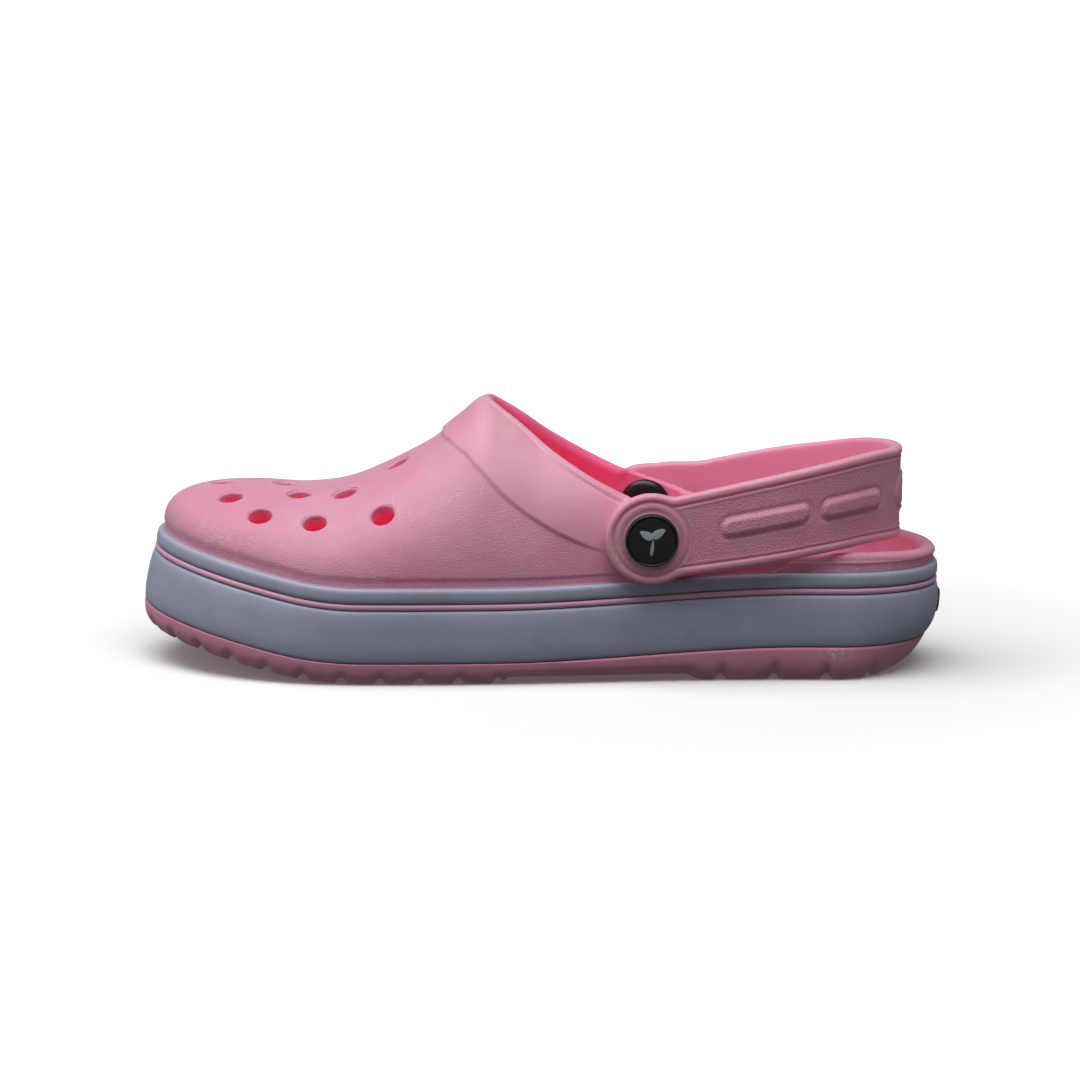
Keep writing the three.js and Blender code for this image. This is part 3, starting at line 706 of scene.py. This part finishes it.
def path_at(x):
    """How far along the lateral half of the strap the plan curve reaches x."""
    half = len(PATH_X) // 2
    return float(np.interp(x, PATH_X[:half - 60], PATH_RUN[:half - 60]))


def strap_edges(s):
    """The strap's lower and upper edge and its middle height at s."""
    x = np.interp(np.clip(s, 0, PATH_LENGTH), PATH_RUN, PATH_X)
    centre, half = through(STRAP_CENTRE, x), through(STRAP_HALF, x)
    end = np.minimum(s, PATH_LENGTH - s)
    ring = np.where(s < PATH_LENGTH / 2, RING_RADIUS, MEDIAL_RING)
    disc = np.sqrt(np.maximum(0, ring**2 - end**2))
    edges = []
    for sign in (-1, 1):
        medial = smooth((s - PATH_LENGTH / 2 - 4) / 40) * smooth((PATH_LENGTH - s - 4) / 18)
        drop = MEDIAL_DROP * medial if sign > 0 else 0
        band = np.where(end > 0.5, sign * (centre + sign * half - drop - RIVET_Z), -50)
        high, low = np.maximum(disc, band), np.minimum(disc, band)
        blend = np.maximum(0, RING_SOFT - (high - low))
        edges.append(RIVET_Z + sign * (high + blend**2 / (4 * RING_SOFT)))
    return edges[0], edges[1], centre


def rounded_box(u, v, half_u, half_v, corner):
    """Distance outside a box with round corners, less than 0 inside it."""
    qx, qy = np.abs(u) - half_u + corner, np.abs(v) - half_v + corner
    outside = np.hypot(np.maximum(qx, 0), np.maximum(qy, 0))
    return outside + np.minimum(np.maximum(qx, qy), 0) - corner


def build_strap():
    """The strap, bent round the heel, with its raised bars, pad and rings."""
    half_count = 520
    s = np.concatenate([-RING_RADIUS * np.cos(np.linspace(0, math.pi / 2, 400)),
                        np.linspace(0, PATH_LENGTH, 4000)[1:-1],
                        PATH_LENGTH + MEDIAL_RING * np.sin(np.linspace(0, math.pi / 2, 400))])
    low, high, _ = strap_edges(s)
    low[0] = high[0] = low[-1] = high[-1] = RIVET_Z
    s, low, high, _ = even_halves(s, low, high, half_count)
    ring = loop(s, low, high)
    into = inward(ring)
    inside = np.clip(ring[:, 0], 0, PATH_LENGTH)
    _, _, centre = strap_edges(inside)
    reach = np.minimum(inside, PATH_LENGTH - inside)
    spine = np.stack([inside, RIVET_Z + (centre - RIVET_Z) * smooth(reach / 20)], 1)
    near = 5.2
    bars = [(path_at(73.8), 14.4, 0.3), (path_at(102.8), 12.2, -0.2)]
    bars += [(PATH_LENGTH - c, h, t) for c, h, t in bars]

    def edge_row(d):
        return ring + into * d

    def face_row(share):
        start = edge_row(near)
        return start + (spine - start) * share

    def add(p, out, field):
        rows.append(strap_point(p[:, 0], p[:, 1], out))
        grain.append(field + 0 * p[:, 0])

    def relief(p, d):
        r = np.minimum(np.hypot(p[:, 0], p[:, 1] - RIVET_Z),
                       np.hypot(p[:, 0] - PATH_LENGTH, p[:, 1] - RIVET_Z)
                       * RING_RADIUS / MEDIAL_RING)
        x = np.interp(np.clip(p[:, 0], 0, PATH_LENGTH), PATH_RUN, PATH_X)
        t = p[:, 1] - through(STRAP_CENTRE, x)
        in_ring = 1 - smooth((r - 12.0) / 0.6)
        field = smooth((d - 3.5) / 0.9) * smooth((r - 12.9) / 0.9)
        groove = np.exp(-((d - 3.1) / 0.5)**2) * smooth((r - 11.9) / 0.5)
        circle = np.exp(-((r - 12.4) / 0.55)**2)
        h = -0.42 * field - 0.62 * np.maximum(groove, circle) - 0.1 * in_ring
        h -= 0.3 * np.exp(-((r - 9.4) / 0.7)**2)
        raised = 0 * h
        for c, half, drop in bars:
            box = rounded_box(p[:, 0] - c, t - drop, half, BAR_HALF, BAR_CORNER)
            raised += BAR_HEIGHT * smooth(-(box - 0.2) / 1.5)
            raised -= 0.35 * np.exp(-((box - 0.75) / 0.5)**2)
        pad = (np.hypot((p[:, 0] - PATH_LENGTH / 2) / PAD_LONG, t / PAD_HALF) - 1) * PAD_HALF
        raised += PAD_HEIGHT * smooth(-pad / 1.3)
        raised -= 0.3 * np.exp(-((pad + 2.3) / 0.5)**2)
        return h + raised * field, field

    half = STRAP_THICK / 2
    rows, grain = [], []
    for share in np.linspace(1, 0, 8):
        add(face_row(share), -half, 0)
    edge = [(3.2, -half), (1.7, -half), (1.1, -half + 0.1), (0.6, -half + 0.35),
            (0.25, -half + 0.75), (0.05, -half + 1.3), (0, -0.4), (0, 0.5), (0.06, half - 1.2),
            (0.25, half - 0.7), (0.55, half - 0.33), (0.9, half - 0.12), (1.3, half - 0.02)]
    for d, out in edge:
        add(edge_row(d), out, 0)
    face = [(edge_row(d), d) for d in np.arange(1.7, near, 0.35)]
    face += [(face_row(share), near + 0.5) for share in np.linspace(0, 1, 20)]
    for p, d in face:
        h, field = relief(p, d)
        add(p, half + h, field)
    strap = mesh_object("heel_strap_foam", rows, sharp=60, mask=np.concatenate(grain))
    cut_keeping_grain(strap, [rivet_bore()], sharp=60)
    # Painted light: faces of the strap turned towards the heel get this share of a hot pink tint
    # and glow in the material.
    middle = (PATH_X.max() / 2 + SHIFT) * MM
    facing_in = [(v.normal.x * (middle - v.co.x) - v.normal.y * v.co.y)
                 / max(1e-6, math.hypot(v.co.x - middle, v.co.y)) for v in strap.data.vertices]
    set_attribute(strap, "deep", [float(smooth(f - INNER_START)) * INNER_GLOW_SHARE for f in facing_in])
    return strap


# ---------------------------------------------------------------- the rivets and the plaque

def badge_height(r, under):
    """The domed badge's surface above the middle plane at radius r."""
    return under + 1.72 + 0.95 * (1 - (r / BADGE)**2)


def build_rivet(side, word):
    under = FACE[side] + STRAP_THICK + 0.6
    seat = SEAT[side]
    join = seat + 4
    flange = seat - 0.3
    rim = [(BADGE + 0.12 + 0.05 * k, under + 1.2 + 0.28 * k) for k in range(3)]
    stud = [(0, under + 1.1), (BADGE + 0.08, under + 1.1)] + rim
    stud += [(CAP - 0.66 + 0.32 * math.sin(a), under + 1.55 + 0.45 * math.cos(a))
             for a in np.linspace(-0.6, 1.2, 6)]
    stud += [(CAP - 0.2, under + 1.3), (CAP - 0.03, under + 0.8), (CAP, under + 0.3),
             (CAP - 0.15, under), (BARREL, under), (BARREL, join + 0.3), (2, join + 0.3),
             (2, flange - 0.4), (0, flange - 0.4)]
    button = [(0, flange - 2.7), (2.5, flange - 2.68), (4.8, flange - 2.58), (6.2, flange - 2.4),
              (7.2, flange - 2.1), (8.0, flange - 1.65), (8.5, flange - 1.2),
              (CAP, flange - 0.6), (CAP, flange - 0.1), (CAP - 0.2, flange), (BARREL, flange),
              (BARREL, join), (2.3, join), (2.3, flange - 0.8), (0, flange - 0.8)]
    badge = [(0, under + 1.4), (BADGE - 0.1, under + 1.4), (BADGE, under + 1.55)]
    badge += [(r, badge_height(r, under)) for r in np.linspace(BADGE - 0.03, 0, 14)]
    return (lathe_y(f"rivet_cap_{word}", stud, side), lathe_y(f"rivet_dome_{word}", badge, side),
            lathe_y(f"rivet_back_{word}", button, side), build_sprout(side, word, under))


def build_sprout(side, word, under):
    """A generic two-leaf sprout laid in the badge, following its dome."""
    def leaf(cx, cz, turn, length, width):
        t = np.linspace(0, 2 * math.pi, 40, endpoint=False)
        u = length * np.cos(t)
        v = width * np.sin(t) * (1 - 0.35 * np.cos(t))
        return [(cx + u[i] * math.cos(turn) - v[i] * math.sin(turn),
                 cz + u[i] * math.sin(turn) + v[i] * math.cos(turn)) for i in range(40)]
    shapes = [leaf(-1.9, 2.0, math.radians(152), 2.7, 1.45),
              leaf(2.1, 2.6, math.radians(32), 2.8, 1.5),
              leaf(0.1, -2.2, math.radians(84), 3.1, 0.62)]
    points, faces = [], []
    rings = 6
    for shape in shapes:
        start = len(points)
        cx = sum(p[0] for p in shape) / len(shape)
        cz = sum(p[1] for p in shape) / len(shape)
        n = len(shape)
        for k in range(rings + 1):
            f = k / rings
            for px, pz in shape:
                u, v = cx + (px - cx) * f, cz + (pz - cz) * f
                lift_off = 0.05 if k < rings else -0.1
                y = badge_height(math.hypot(u, v), under) + lift_off
                points.append((RIVET_X + u, side * y, RIVET_Z + v))
        for k in range(rings):
            for i in range(n):
                j = (i + 1) % n
                faces.append((start + k * n + i, start + k * n + j,
                              start + (k + 1) * n + j, start + (k + 1) * n + i))
    return points_object(f"rivet_sprout_{word}", np.array(points), faces)


def build_plaque():
    """The oval plaque on the heel, with a raised border, following the midsole's curve."""
    sole = Sole(2400)
    rows = []
    turn = 96
    angle = np.arange(turn) / turn * 2 * math.pi
    half_w, half_h, centre_z = 7.9, 4.1, 17.5

    def rear(y, z):
        out = np.empty_like(y)
        for i, (yy, zz) in enumerate(zip(y, z)):
            ring = sole.at(-0.4, zz)
            keep = ring[:, 0] > HEEL_CENTRE
            order = np.argsort(ring[keep, 1])
            out[i] = np.interp(yy, ring[keep, 1][order], ring[keep, 0][order])
        return out

    profile = [(0.0, 0.1), (0.6, 0.1), (1.0, 0.1), (1.0, 0.35), (0.985, 0.5), (0.95, 0.6),
               (0.9, 0.62), (0.86, 0.52), (0.83, 0.42), (0.8, 0.4), (0.5, 0.4), (0.0, 0.4)]
    for scale, out in profile:
        y = np.cos(angle) * half_w * scale
        z = centre_z + np.sin(angle) * half_h * scale
        x = rear(y, z) if scale > 0 else np.full(turn, rear(y[:1], z[:1])[0])
        rows.append(np.stack([x + out, y, z + HEEL_LIFT], 1))
    return mesh_object("heel_badge", rows)


# ---------------------------------------------------------------- materials

class Nodes:
    """A small helper that wires shader nodes."""

    def __init__(self, name):
        self.material = bpy.data.materials.new(name)
        self.material.use_nodes = True
        self.tree = self.material.node_tree
        self.shader = self.tree.nodes["Principled BSDF"]
        self.place = self.add("ShaderNodeTexCoord").outputs["Object"]

    def add(self, kind, **values):
        node = self.tree.nodes.new(kind)
        for key, value in values.items():
            setattr(node, key, value)
        return node

    def set(self, socket, value):
        if isinstance(value, bpy.types.NodeSocket):
            self.tree.links.new(value, socket)
        else:
            socket.default_value = value

    def noise(self, scale, detail=4, rough=0.55, distort=0.0, place=None):
        node = self.add("ShaderNodeTexNoise")
        self.set(node.inputs["Vector"], place or self.place)
        for key, value in (("Scale", scale), ("Detail", detail), ("Roughness", rough),
                           ("Distortion", distort)):
            node.inputs[key].default_value = value
        return node.outputs["Fac"]

    def cells(self, scale, feature="F1", place=None):
        node = self.add("ShaderNodeTexVoronoi", feature=feature)
        self.set(node.inputs["Vector"], place or self.place)
        node.inputs["Scale"].default_value = scale
        return node.outputs["Distance"]

    def span(self, value, low, high, out_low=0.0, out_high=1.0):
        node = self.add("ShaderNodeMapRange")
        node.interpolation_type = "SMOOTHSTEP"
        self.set(node.inputs["Value"], value)
        for key, number in (("From Min", low), ("From Max", high), ("To Min", out_low),
                            ("To Max", out_high)):
            node.inputs[key].default_value = number
        return node.outputs["Result"]

    def math(self, kind, a, b=0.0):
        node = self.add("ShaderNodeMath", operation=kind)
        self.set(node.inputs[0], a)
        self.set(node.inputs[1], b)
        return node.outputs[0]

    def times(self, a, b):
        return self.math("MULTIPLY", a, b)

    def vector(self, kind, a, b=None):
        node = self.add("ShaderNodeVectorMath", operation=kind)
        self.set(node.inputs[0], a)
        if b is not None:
            self.set(node.inputs["Scale" if kind == "SCALE" else 1], b)
        return node.outputs["Value" if kind == "LENGTH" else 0]

    def tint(self, colour, other, share, mask):
        """Lays this share of another colour over colour where the mask is 1."""
        return self.mix(self.times(mask, share), colour, other)

    def mix(self, amount, a, b):
        node = self.add("ShaderNodeMix", data_type="RGBA")
        self.set(node.inputs["Factor"], amount)
        self.set(node.inputs[6], a)
        self.set(node.inputs[7], b)
        return node.outputs[2]

    def bump(self, height, distance, strength=1.0, normal=None):
        node = self.add("ShaderNodeBump")
        node.inputs["Strength"].default_value = strength
        node.inputs["Distance"].default_value = distance
        self.set(node.inputs["Height"], height)
        if normal is not None:
            self.tree.links.new(normal, node.inputs["Normal"])
        return node.outputs["Normal"]

    def near(self, x, y, z, rx, ry, rz):
        """1 at a place on the shoe in mm, fading to 0 at these distances from it."""
        offset = self.vector("SUBTRACT", self.place, ((x + SHIFT) * MM, y * MM, z * MM))
        scaled = self.vector("DIVIDE", offset, (rx * MM, ry * MM, rz * MM))
        return self.span(self.vector("LENGTH", scaled), 1.0, 0.2)

    def attribute(self, name):
        return self.add("ShaderNodeAttribute", attribute_name=name).outputs["Fac"]

    def finish(self, colour, roughness, normal, **sockets):
        self.set(self.shader.inputs["Base Color"], colour)
        self.set(self.shader.inputs["Roughness"], roughness)
        if normal is not None:
            self.set(self.shader.inputs["Normal"], normal)
        for key, value in sockets.items():
            self.shader.inputs[key].default_value = value
        return self.material


def rgb(r, g, b):
    return (r, g, b, 1.0)


PINK = rgb(0.79, 0.375, 0.515)
PINK_DEEP = rgb(0.77, 0.29, 0.43)
PINK_PALE = rgb(0.83, 0.43, 0.55)
# The next three lines are painted light: a hot pink colour, a pink glow and its strength, laid on
# the foam's inside and the strap's inner face for light bouncing round in the foam.
PINK_INSIDE_PAINTED_GLOW = rgb(0.97, 0.17, 0.36)
PINK_GLOW = rgb(1.0, 0.12, 0.26)
DEEP_GLOW = 0.09
OUTSOLE_PINK = rgb(0.82, 0.35, 0.49)
LILAC = rgb(0.42, 0.44, 0.575)
LILAC_DEEP = rgb(0.36, 0.38, 0.495)
# The dirt colour is real dirt on the toe and midsole, and also painted shade in the torn strap's
# pits.
DIRT_AND_PIT_SHADE = rgb(0.30, 0.20, 0.15)
GREY_DIRT = rgb(0.20, 0.18, 0.19)
GLUE = rgb(0.80, 0.66, 0.62)
CREAM = rgb(0.80, 0.55, 0.42)


def foam(name, base, deep, pale, grain_scale=0.0, wear_and_light=None, subsurface=0.0):
    n = Nodes(name)
    wide = n.noise(16, 5, 0.6)
    colour = n.mix(n.span(wide, 0.35, 0.72), base, deep)
    patch = n.noise(55, 6, 0.65, 0.4)
    colour = n.tint(colour, pale, 0.35, n.span(patch, 0.52, 0.75))
    speck = n.noise(1400, 2, 0.6)
    colour = n.tint(colour, deep, 0.16, n.span(speck, 0.62, 0.8))
    if wear_and_light:
        colour = wear_and_light(n, colour)
    fine = n.noise(2600, 3, 0.6)
    normal = n.bump(fine, 0.00006, 0.35)
    rough = n.span(n.noise(120, 5, 0.6), 0.3, 0.75, 0.46, 0.62)
    if grain_scale:
        warp = n.noise(grain_scale * 0.6, 2, 0.5)
        jitter = n.add("ShaderNodeCombineXYZ")
        for k in range(3):
            n.set(jitter.inputs[k], warp)
        moved = n.vector("ADD", n.place, n.vector("SCALE", jitter.outputs[0], 0.35 / grain_scale))
        pebble = n.span(n.cells(grain_scale, "DISTANCE_TO_EDGE", moved), 0.0, 0.22)
        lumps = n.times(n.noise(grain_scale * 0.9, 2, 0.5), 0.8)
        pebble = n.times(n.math("ADD", pebble, lumps), n.attribute("grain"))
        normal = n.bump(pebble, 0.00017, 0.6, normal)
        # Painted shade: the grain's creases are darkened.
        crease_shade = n.times(n.span(pebble, 0.7, 0.2), n.times(n.attribute("grain"), 0.14))
        colour = n.mix(crease_shade, colour, deep)
    soft = n.noise(60, 3, 0.5)
    normal = n.bump(soft, 0.0005, 0.25, normal)
    extra = {"Specular IOR Level": 0.55, "Sheen Weight": 0.12, "Sheen Roughness": 0.4}
    if subsurface:
        # Painted light: the foam's inside, marked by the deep attribute, glows faintly pink.
        n.set(n.shader.inputs["Emission Strength"], n.times(n.attribute("deep"), DEEP_GLOW))
        extra["Emission Color"] = PINK_GLOW
        n.shader.subsurface_method = "RANDOM_WALK"
        extra["Subsurface Weight"] = subsurface
        extra["Subsurface Scale"] = 0.006
        extra["Subsurface Radius"] = (1.0, 0.22, 0.36)
    return n.finish(colour, rough, normal, **extra)


def upper_wear_and_inner_glow(n, colour):
    """A scuffed toe, a yellowed collar bead and glue smears along the sole's joint, with a painted
    hot pink glow on the foam's inside.
    """
    scuff = n.span(n.noise(230, 6, 0.7, 1.2), 0.5, 0.68)
    colour = n.tint(colour, CREAM, 0.55, n.times(n.near(-108, -26, 44, 38, 26, 11), scuff))
    lines = n.span(n.noise(520, 4, 0.6, 2.5), 0.56, 0.66)
    colour = n.tint(colour, DIRT_AND_PIT_SHADE, 0.5, n.times(n.near(-96, -33, 43, 26, 18, 7), lines))
    stain = n.span(n.noise(90, 5, 0.6), 0.42, 0.6)
    colour = n.tint(colour, CREAM, 0.4, n.times(n.near(-2, -20, 80, 26, 22, 16), stain))
    # Painted light: the foam's inside turns hot pink, for light bouncing round in it.
    colour = n.mix(n.attribute("deep"), colour, PINK_INSIDE_PAINTED_GLOW)
    smear = n.span(n.noise(300, 6, 0.72, 1.5), 0.52, 0.62)
    return n.tint(colour, GLUE, 0.5, n.times(n.near(104, -34, 38, 40, 24, 6), smear))


def strap_wear_and_painted_light(n, colour):
    """Torn, yellowed foam on the ring beside the lateral rivet, painted with highlights on its torn
    edges and shade in its pits, and a painted hot pink glow on the strap's inside.
    """
    place = n.near(25, -46, 43, 7, 8, 11)
    # Real torn, yellowed foam, its pale marks also standing in for painted highlights on the torn
    # edges.
    torn_and_edge_highlight = n.span(n.noise(620, 6, 0.7, 1.6), 0.5, 0.56)
    colour = n.tint(colour, CREAM, 0.75, n.times(place, torn_and_edge_highlight))
    # Painted shade in the pits of the torn foam.
    pit_shade = n.span(n.noise(900, 5, 0.7, 2.0), 0.57, 0.62)
    colour = n.tint(colour, DIRT_AND_PIT_SHADE, 0.8, n.times(place, pit_shade))
    # Painted light: a hot pink glow on the strap's inner face.
    return n.tint(colour, PINK_INSIDE_PAINTED_GLOW, 0.5, n.attribute("deep"))


def midsole_wear(n, colour):
    """Grey dirt in patches and a brown streak below the lateral rivet."""
    colour = n.tint(colour, GREY_DIRT, 0.22, n.span(n.noise(70, 6, 0.7, 0.8), 0.52, 0.72))
    streak = n.span(n.noise(140, 6, 0.7, 1.0), 0.5, 0.66)
    return n.tint(colour, DIRT_AND_PIT_SHADE, 0.28, n.times(n.near(38, -46, 17, 34, 20, 9), streak))


def outsole_wear(n, colour):
    """Dust near the ground and a smear of glue by the heel."""
    split = n.add("ShaderNodeSeparateXYZ")
    n.set(split.inputs[0], n.place)
    low = n.span(split.outputs["Z"], 0.007, 0.001)
    dust = n.span(n.noise(110, 6, 0.68, 0.5), 0.35, 0.62)
    colour = n.tint(colour, GREY_DIRT, 0.4, n.times(low, dust))
    mark = n.span(n.noise(420, 5, 0.7, 1.0), 0.48, 0.58)
    return n.tint(colour, GLUE, 0.7, n.times(n.near(99, -38, 9, 9, 12, 5), mark))


def plastic(name, colour, rough_low, rough_high, coat=0.0):
    n = Nodes(name)
    dust = rgb(*(min(1, c * 1.9 + 0.006) for c in colour[:3]))
    tinted = n.tint(colour, dust, 0.2, n.span(n.noise(900, 4, 0.6), 0.5, 0.75))
    rough = n.span(n.noise(260, 5, 0.6), 0.35, 0.7, rough_low, rough_high)
    normal = n.bump(n.noise(700, 3, 0.5, 3.0), 0.00002, 0.2)
    return n.finish(tinted, rough, normal, **{"Coat Weight": coat, "Coat Roughness": 0.05})


def fit(obj, material, body, slot, *nodes):
    """Gives a piece its material and its body, and hides the CAD solids that it replaces; slot is
    not used.
    """
    obj.data.materials.clear()
    obj.data.materials.append(material)
    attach(obj, body)
    if nodes:
        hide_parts(*nodes)


# ---------------------------------------------------------------- the shoe

upper_foam = foam("pink_foam_grained", PINK, PINK_DEEP, PINK_PALE, 1150, upper_wear_and_inner_glow, 0.3)
strap_foam = foam("pink_foam_strap", PINK, PINK_DEEP, PINK_PALE, 1000, strap_wear_and_painted_light, 0.3)
outsole_foam = foam("pink_foam_outsole", OUTSOLE_PINK, PINK_DEEP, PINK_PALE, 0, outsole_wear)
stripe_foam = foam("stripe_foam", rgb(0.80, 0.44, 0.60), rgb(0.7, 0.38, 0.55), PINK_PALE)
lilac_foam = foam("lilac_foam", LILAC, LILAC_DEEP, rgb(0.52, 0.55, 0.68), 0, midsole_wear)
black_plastic = plastic("black_plastic", rgb(0.010, 0.010, 0.012), 0.22, 0.38)
gloss_resin = plastic("gloss_resin", rgb(0.006, 0.006, 0.008), 0.05, 0.12, 1.0)
sprout_resin = plastic("sprout_resin", rgb(0.36, 0.42, 0.43), 0.12, 0.22, 0.6)

fit(build_outsole(), outsole_foam, "shoe", "outsole_foam", "outsole")
fit(build_midsole(), lilac_foam, "shoe", "midsole_foam", "midsole")
fit(build_stripe(), stripe_foam, "shoe", "stripe_foam", "stripe_inlay")
fit(build_upper(), upper_foam, "shoe", "upper_foam", "upper_shell")
fit(build_strap(), strap_foam, "strap", "strap_foam", "heel_strap")
fit(build_plaque(), black_plastic, "shoe", "plaque_print", "heel_plaque")
for word, side in (("lateral", -1), ("medial", 1)):
    cap, dome_piece, back, sprout = build_rivet(side, word)
    fit(cap, black_plastic, "shoe", "rivet_plastic", f"rivet_stud_{word}")
    fit(dome_piece, gloss_resin, "shoe", "badge_resin", f"rivet_badge_{word}")
    fit(back, black_plastic, "shoe", "rivet_plastic", f"rivet_button_{word}")
    fit(sprout, sprout_resin, "shoe", "badge_resin")

# ---------------------------------------------------------------- floor, light and camera

# The floor is a paper sweep, in metres, with a painted glow that grows the further it is from the
# shoe, lifting the far paper to white and leaving the paper near the shoe darker as painted shade
# round it.
GLOW_NEAR, GLOW_FAR, GLOW_LOW, GLOW_HIGH = 0.12, 0.5, 0.05, 0.7
FLOOR_FRONT, FLOOR_BACK, FLOOR_HALF, BEND, WALL_TOP = -2.2, 1.3, 4.0, 0.8, 3.2
WORLD_LIGHT = 0.12
sweep = [(FLOOR_FRONT, 0.0), (FLOOR_BACK, 0.0)]
sweep += [(FLOOR_BACK + BEND * math.sin(a), BEND - BEND * math.cos(a))
          for a in np.linspace(0, math.pi / 2, 25)[1:]]
sweep += [(FLOOR_BACK + BEND, WALL_TOP)]
floor_mesh = bpy.data.meshes.new("studio_floor")
corners = [(x, y, z) for y, z in sweep for x in (-FLOOR_HALF, FLOOR_HALF)]
floor_mesh.from_pydata(corners, [], [(2 * i, 2 * i + 1, 2 * i + 3, 2 * i + 2)
                                     for i in range(len(sweep) - 1)])
floor_mesh.shade_smooth()
floor = bpy.data.objects.new("studio_floor", floor_mesh)
bpy.context.scene.collection.objects.link(floor)
paper = Nodes("paper")
tone = paper.mix(paper.noise(3, 3, 0.5), rgb(0.93, 0.93, 0.93), rgb(0.97, 0.97, 0.97))
spread = paper.vector("LENGTH", paper.place)
# Painted glow: the paper glows more away from the shoe, which leaves it darker near the shoe.
paper.set(paper.shader.inputs["Emission Strength"],
          paper.span(spread, GLOW_NEAR, GLOW_FAR, GLOW_LOW, GLOW_HIGH))
floor_mesh.materials.append(paper.finish(
    tone, paper.span(paper.noise(9, 3), 0.3, 0.7, 0.85, 0.95), None,
    **{"Specular IOR Level": 0.1, "Emission Color": rgb(1, 1, 1)}))
floor.visible_diffuse = False
floor.visible_glossy = False

world = bpy.data.worlds.new("studio")
bpy.context.scene.world = world
world.use_nodes = True
background = world.node_tree.nodes["Background"]
background.inputs["Color"].default_value = rgb(0.95, 0.97, 1.0)
background.inputs["Strength"].default_value = WORLD_LIGHT


def area_light(name, where, aim, size, power):
    """A white rectangular light at a place, aimed at another; lengths in metres, power in watts."""
    data = bpy.data.lights.new(name, "AREA")
    data.shape = "RECTANGLE"
    data.size, data.size_y = size
    data.energy = power
    lamp = bpy.data.objects.new(name, data)
    lamp.location = where
    lamp.rotation_euler = (Vector(aim) - Vector(where)).to_track_quat("-Z", "Y").to_euler()
    bpy.context.scene.collection.objects.link(lamp)


area_light("key_above", (-0.2, -0.35, 1.45), (0, 0, 0), (2.2, 1.0), 26)
area_light("toe_side", (-1.4, -0.5, 0.7), (0, 0, 0.04), (0.9, 0.9), 3.6)

ELEVATION = math.radians(9.5)
ROLL = math.radians(0.5)
DISTANCE, TARGET_Z = 1100.0, 41.0
SENSOR, FRAME_PIXELS, FOCAL_PIXELS = 36.0, 1080, 3219
camera_data = bpy.data.cameras.new("camera")
camera_data.sensor_width = SENSOR
camera_data.lens = FOCAL_PIXELS / FRAME_PIXELS * SENSOR
camera = bpy.data.objects.new("camera", camera_data)
back = Vector((0, -math.cos(ELEVATION), math.sin(ELEVATION)))
camera.location = (Vector((SHIFT, 0, TARGET_Z)) + back * DISTANCE) * MM
camera.rotation_euler = (back.to_track_quat("Z", "Y").to_matrix()
                         @ Matrix.Rotation(ROLL, 3, "Z")).to_euler()
bpy.context.scene.collection.objects.link(camera)
bpy.context.scene.camera = camera
bpy.context.scene.view_settings.view_transform = "Standard"

bpy.context.view_layer.update()
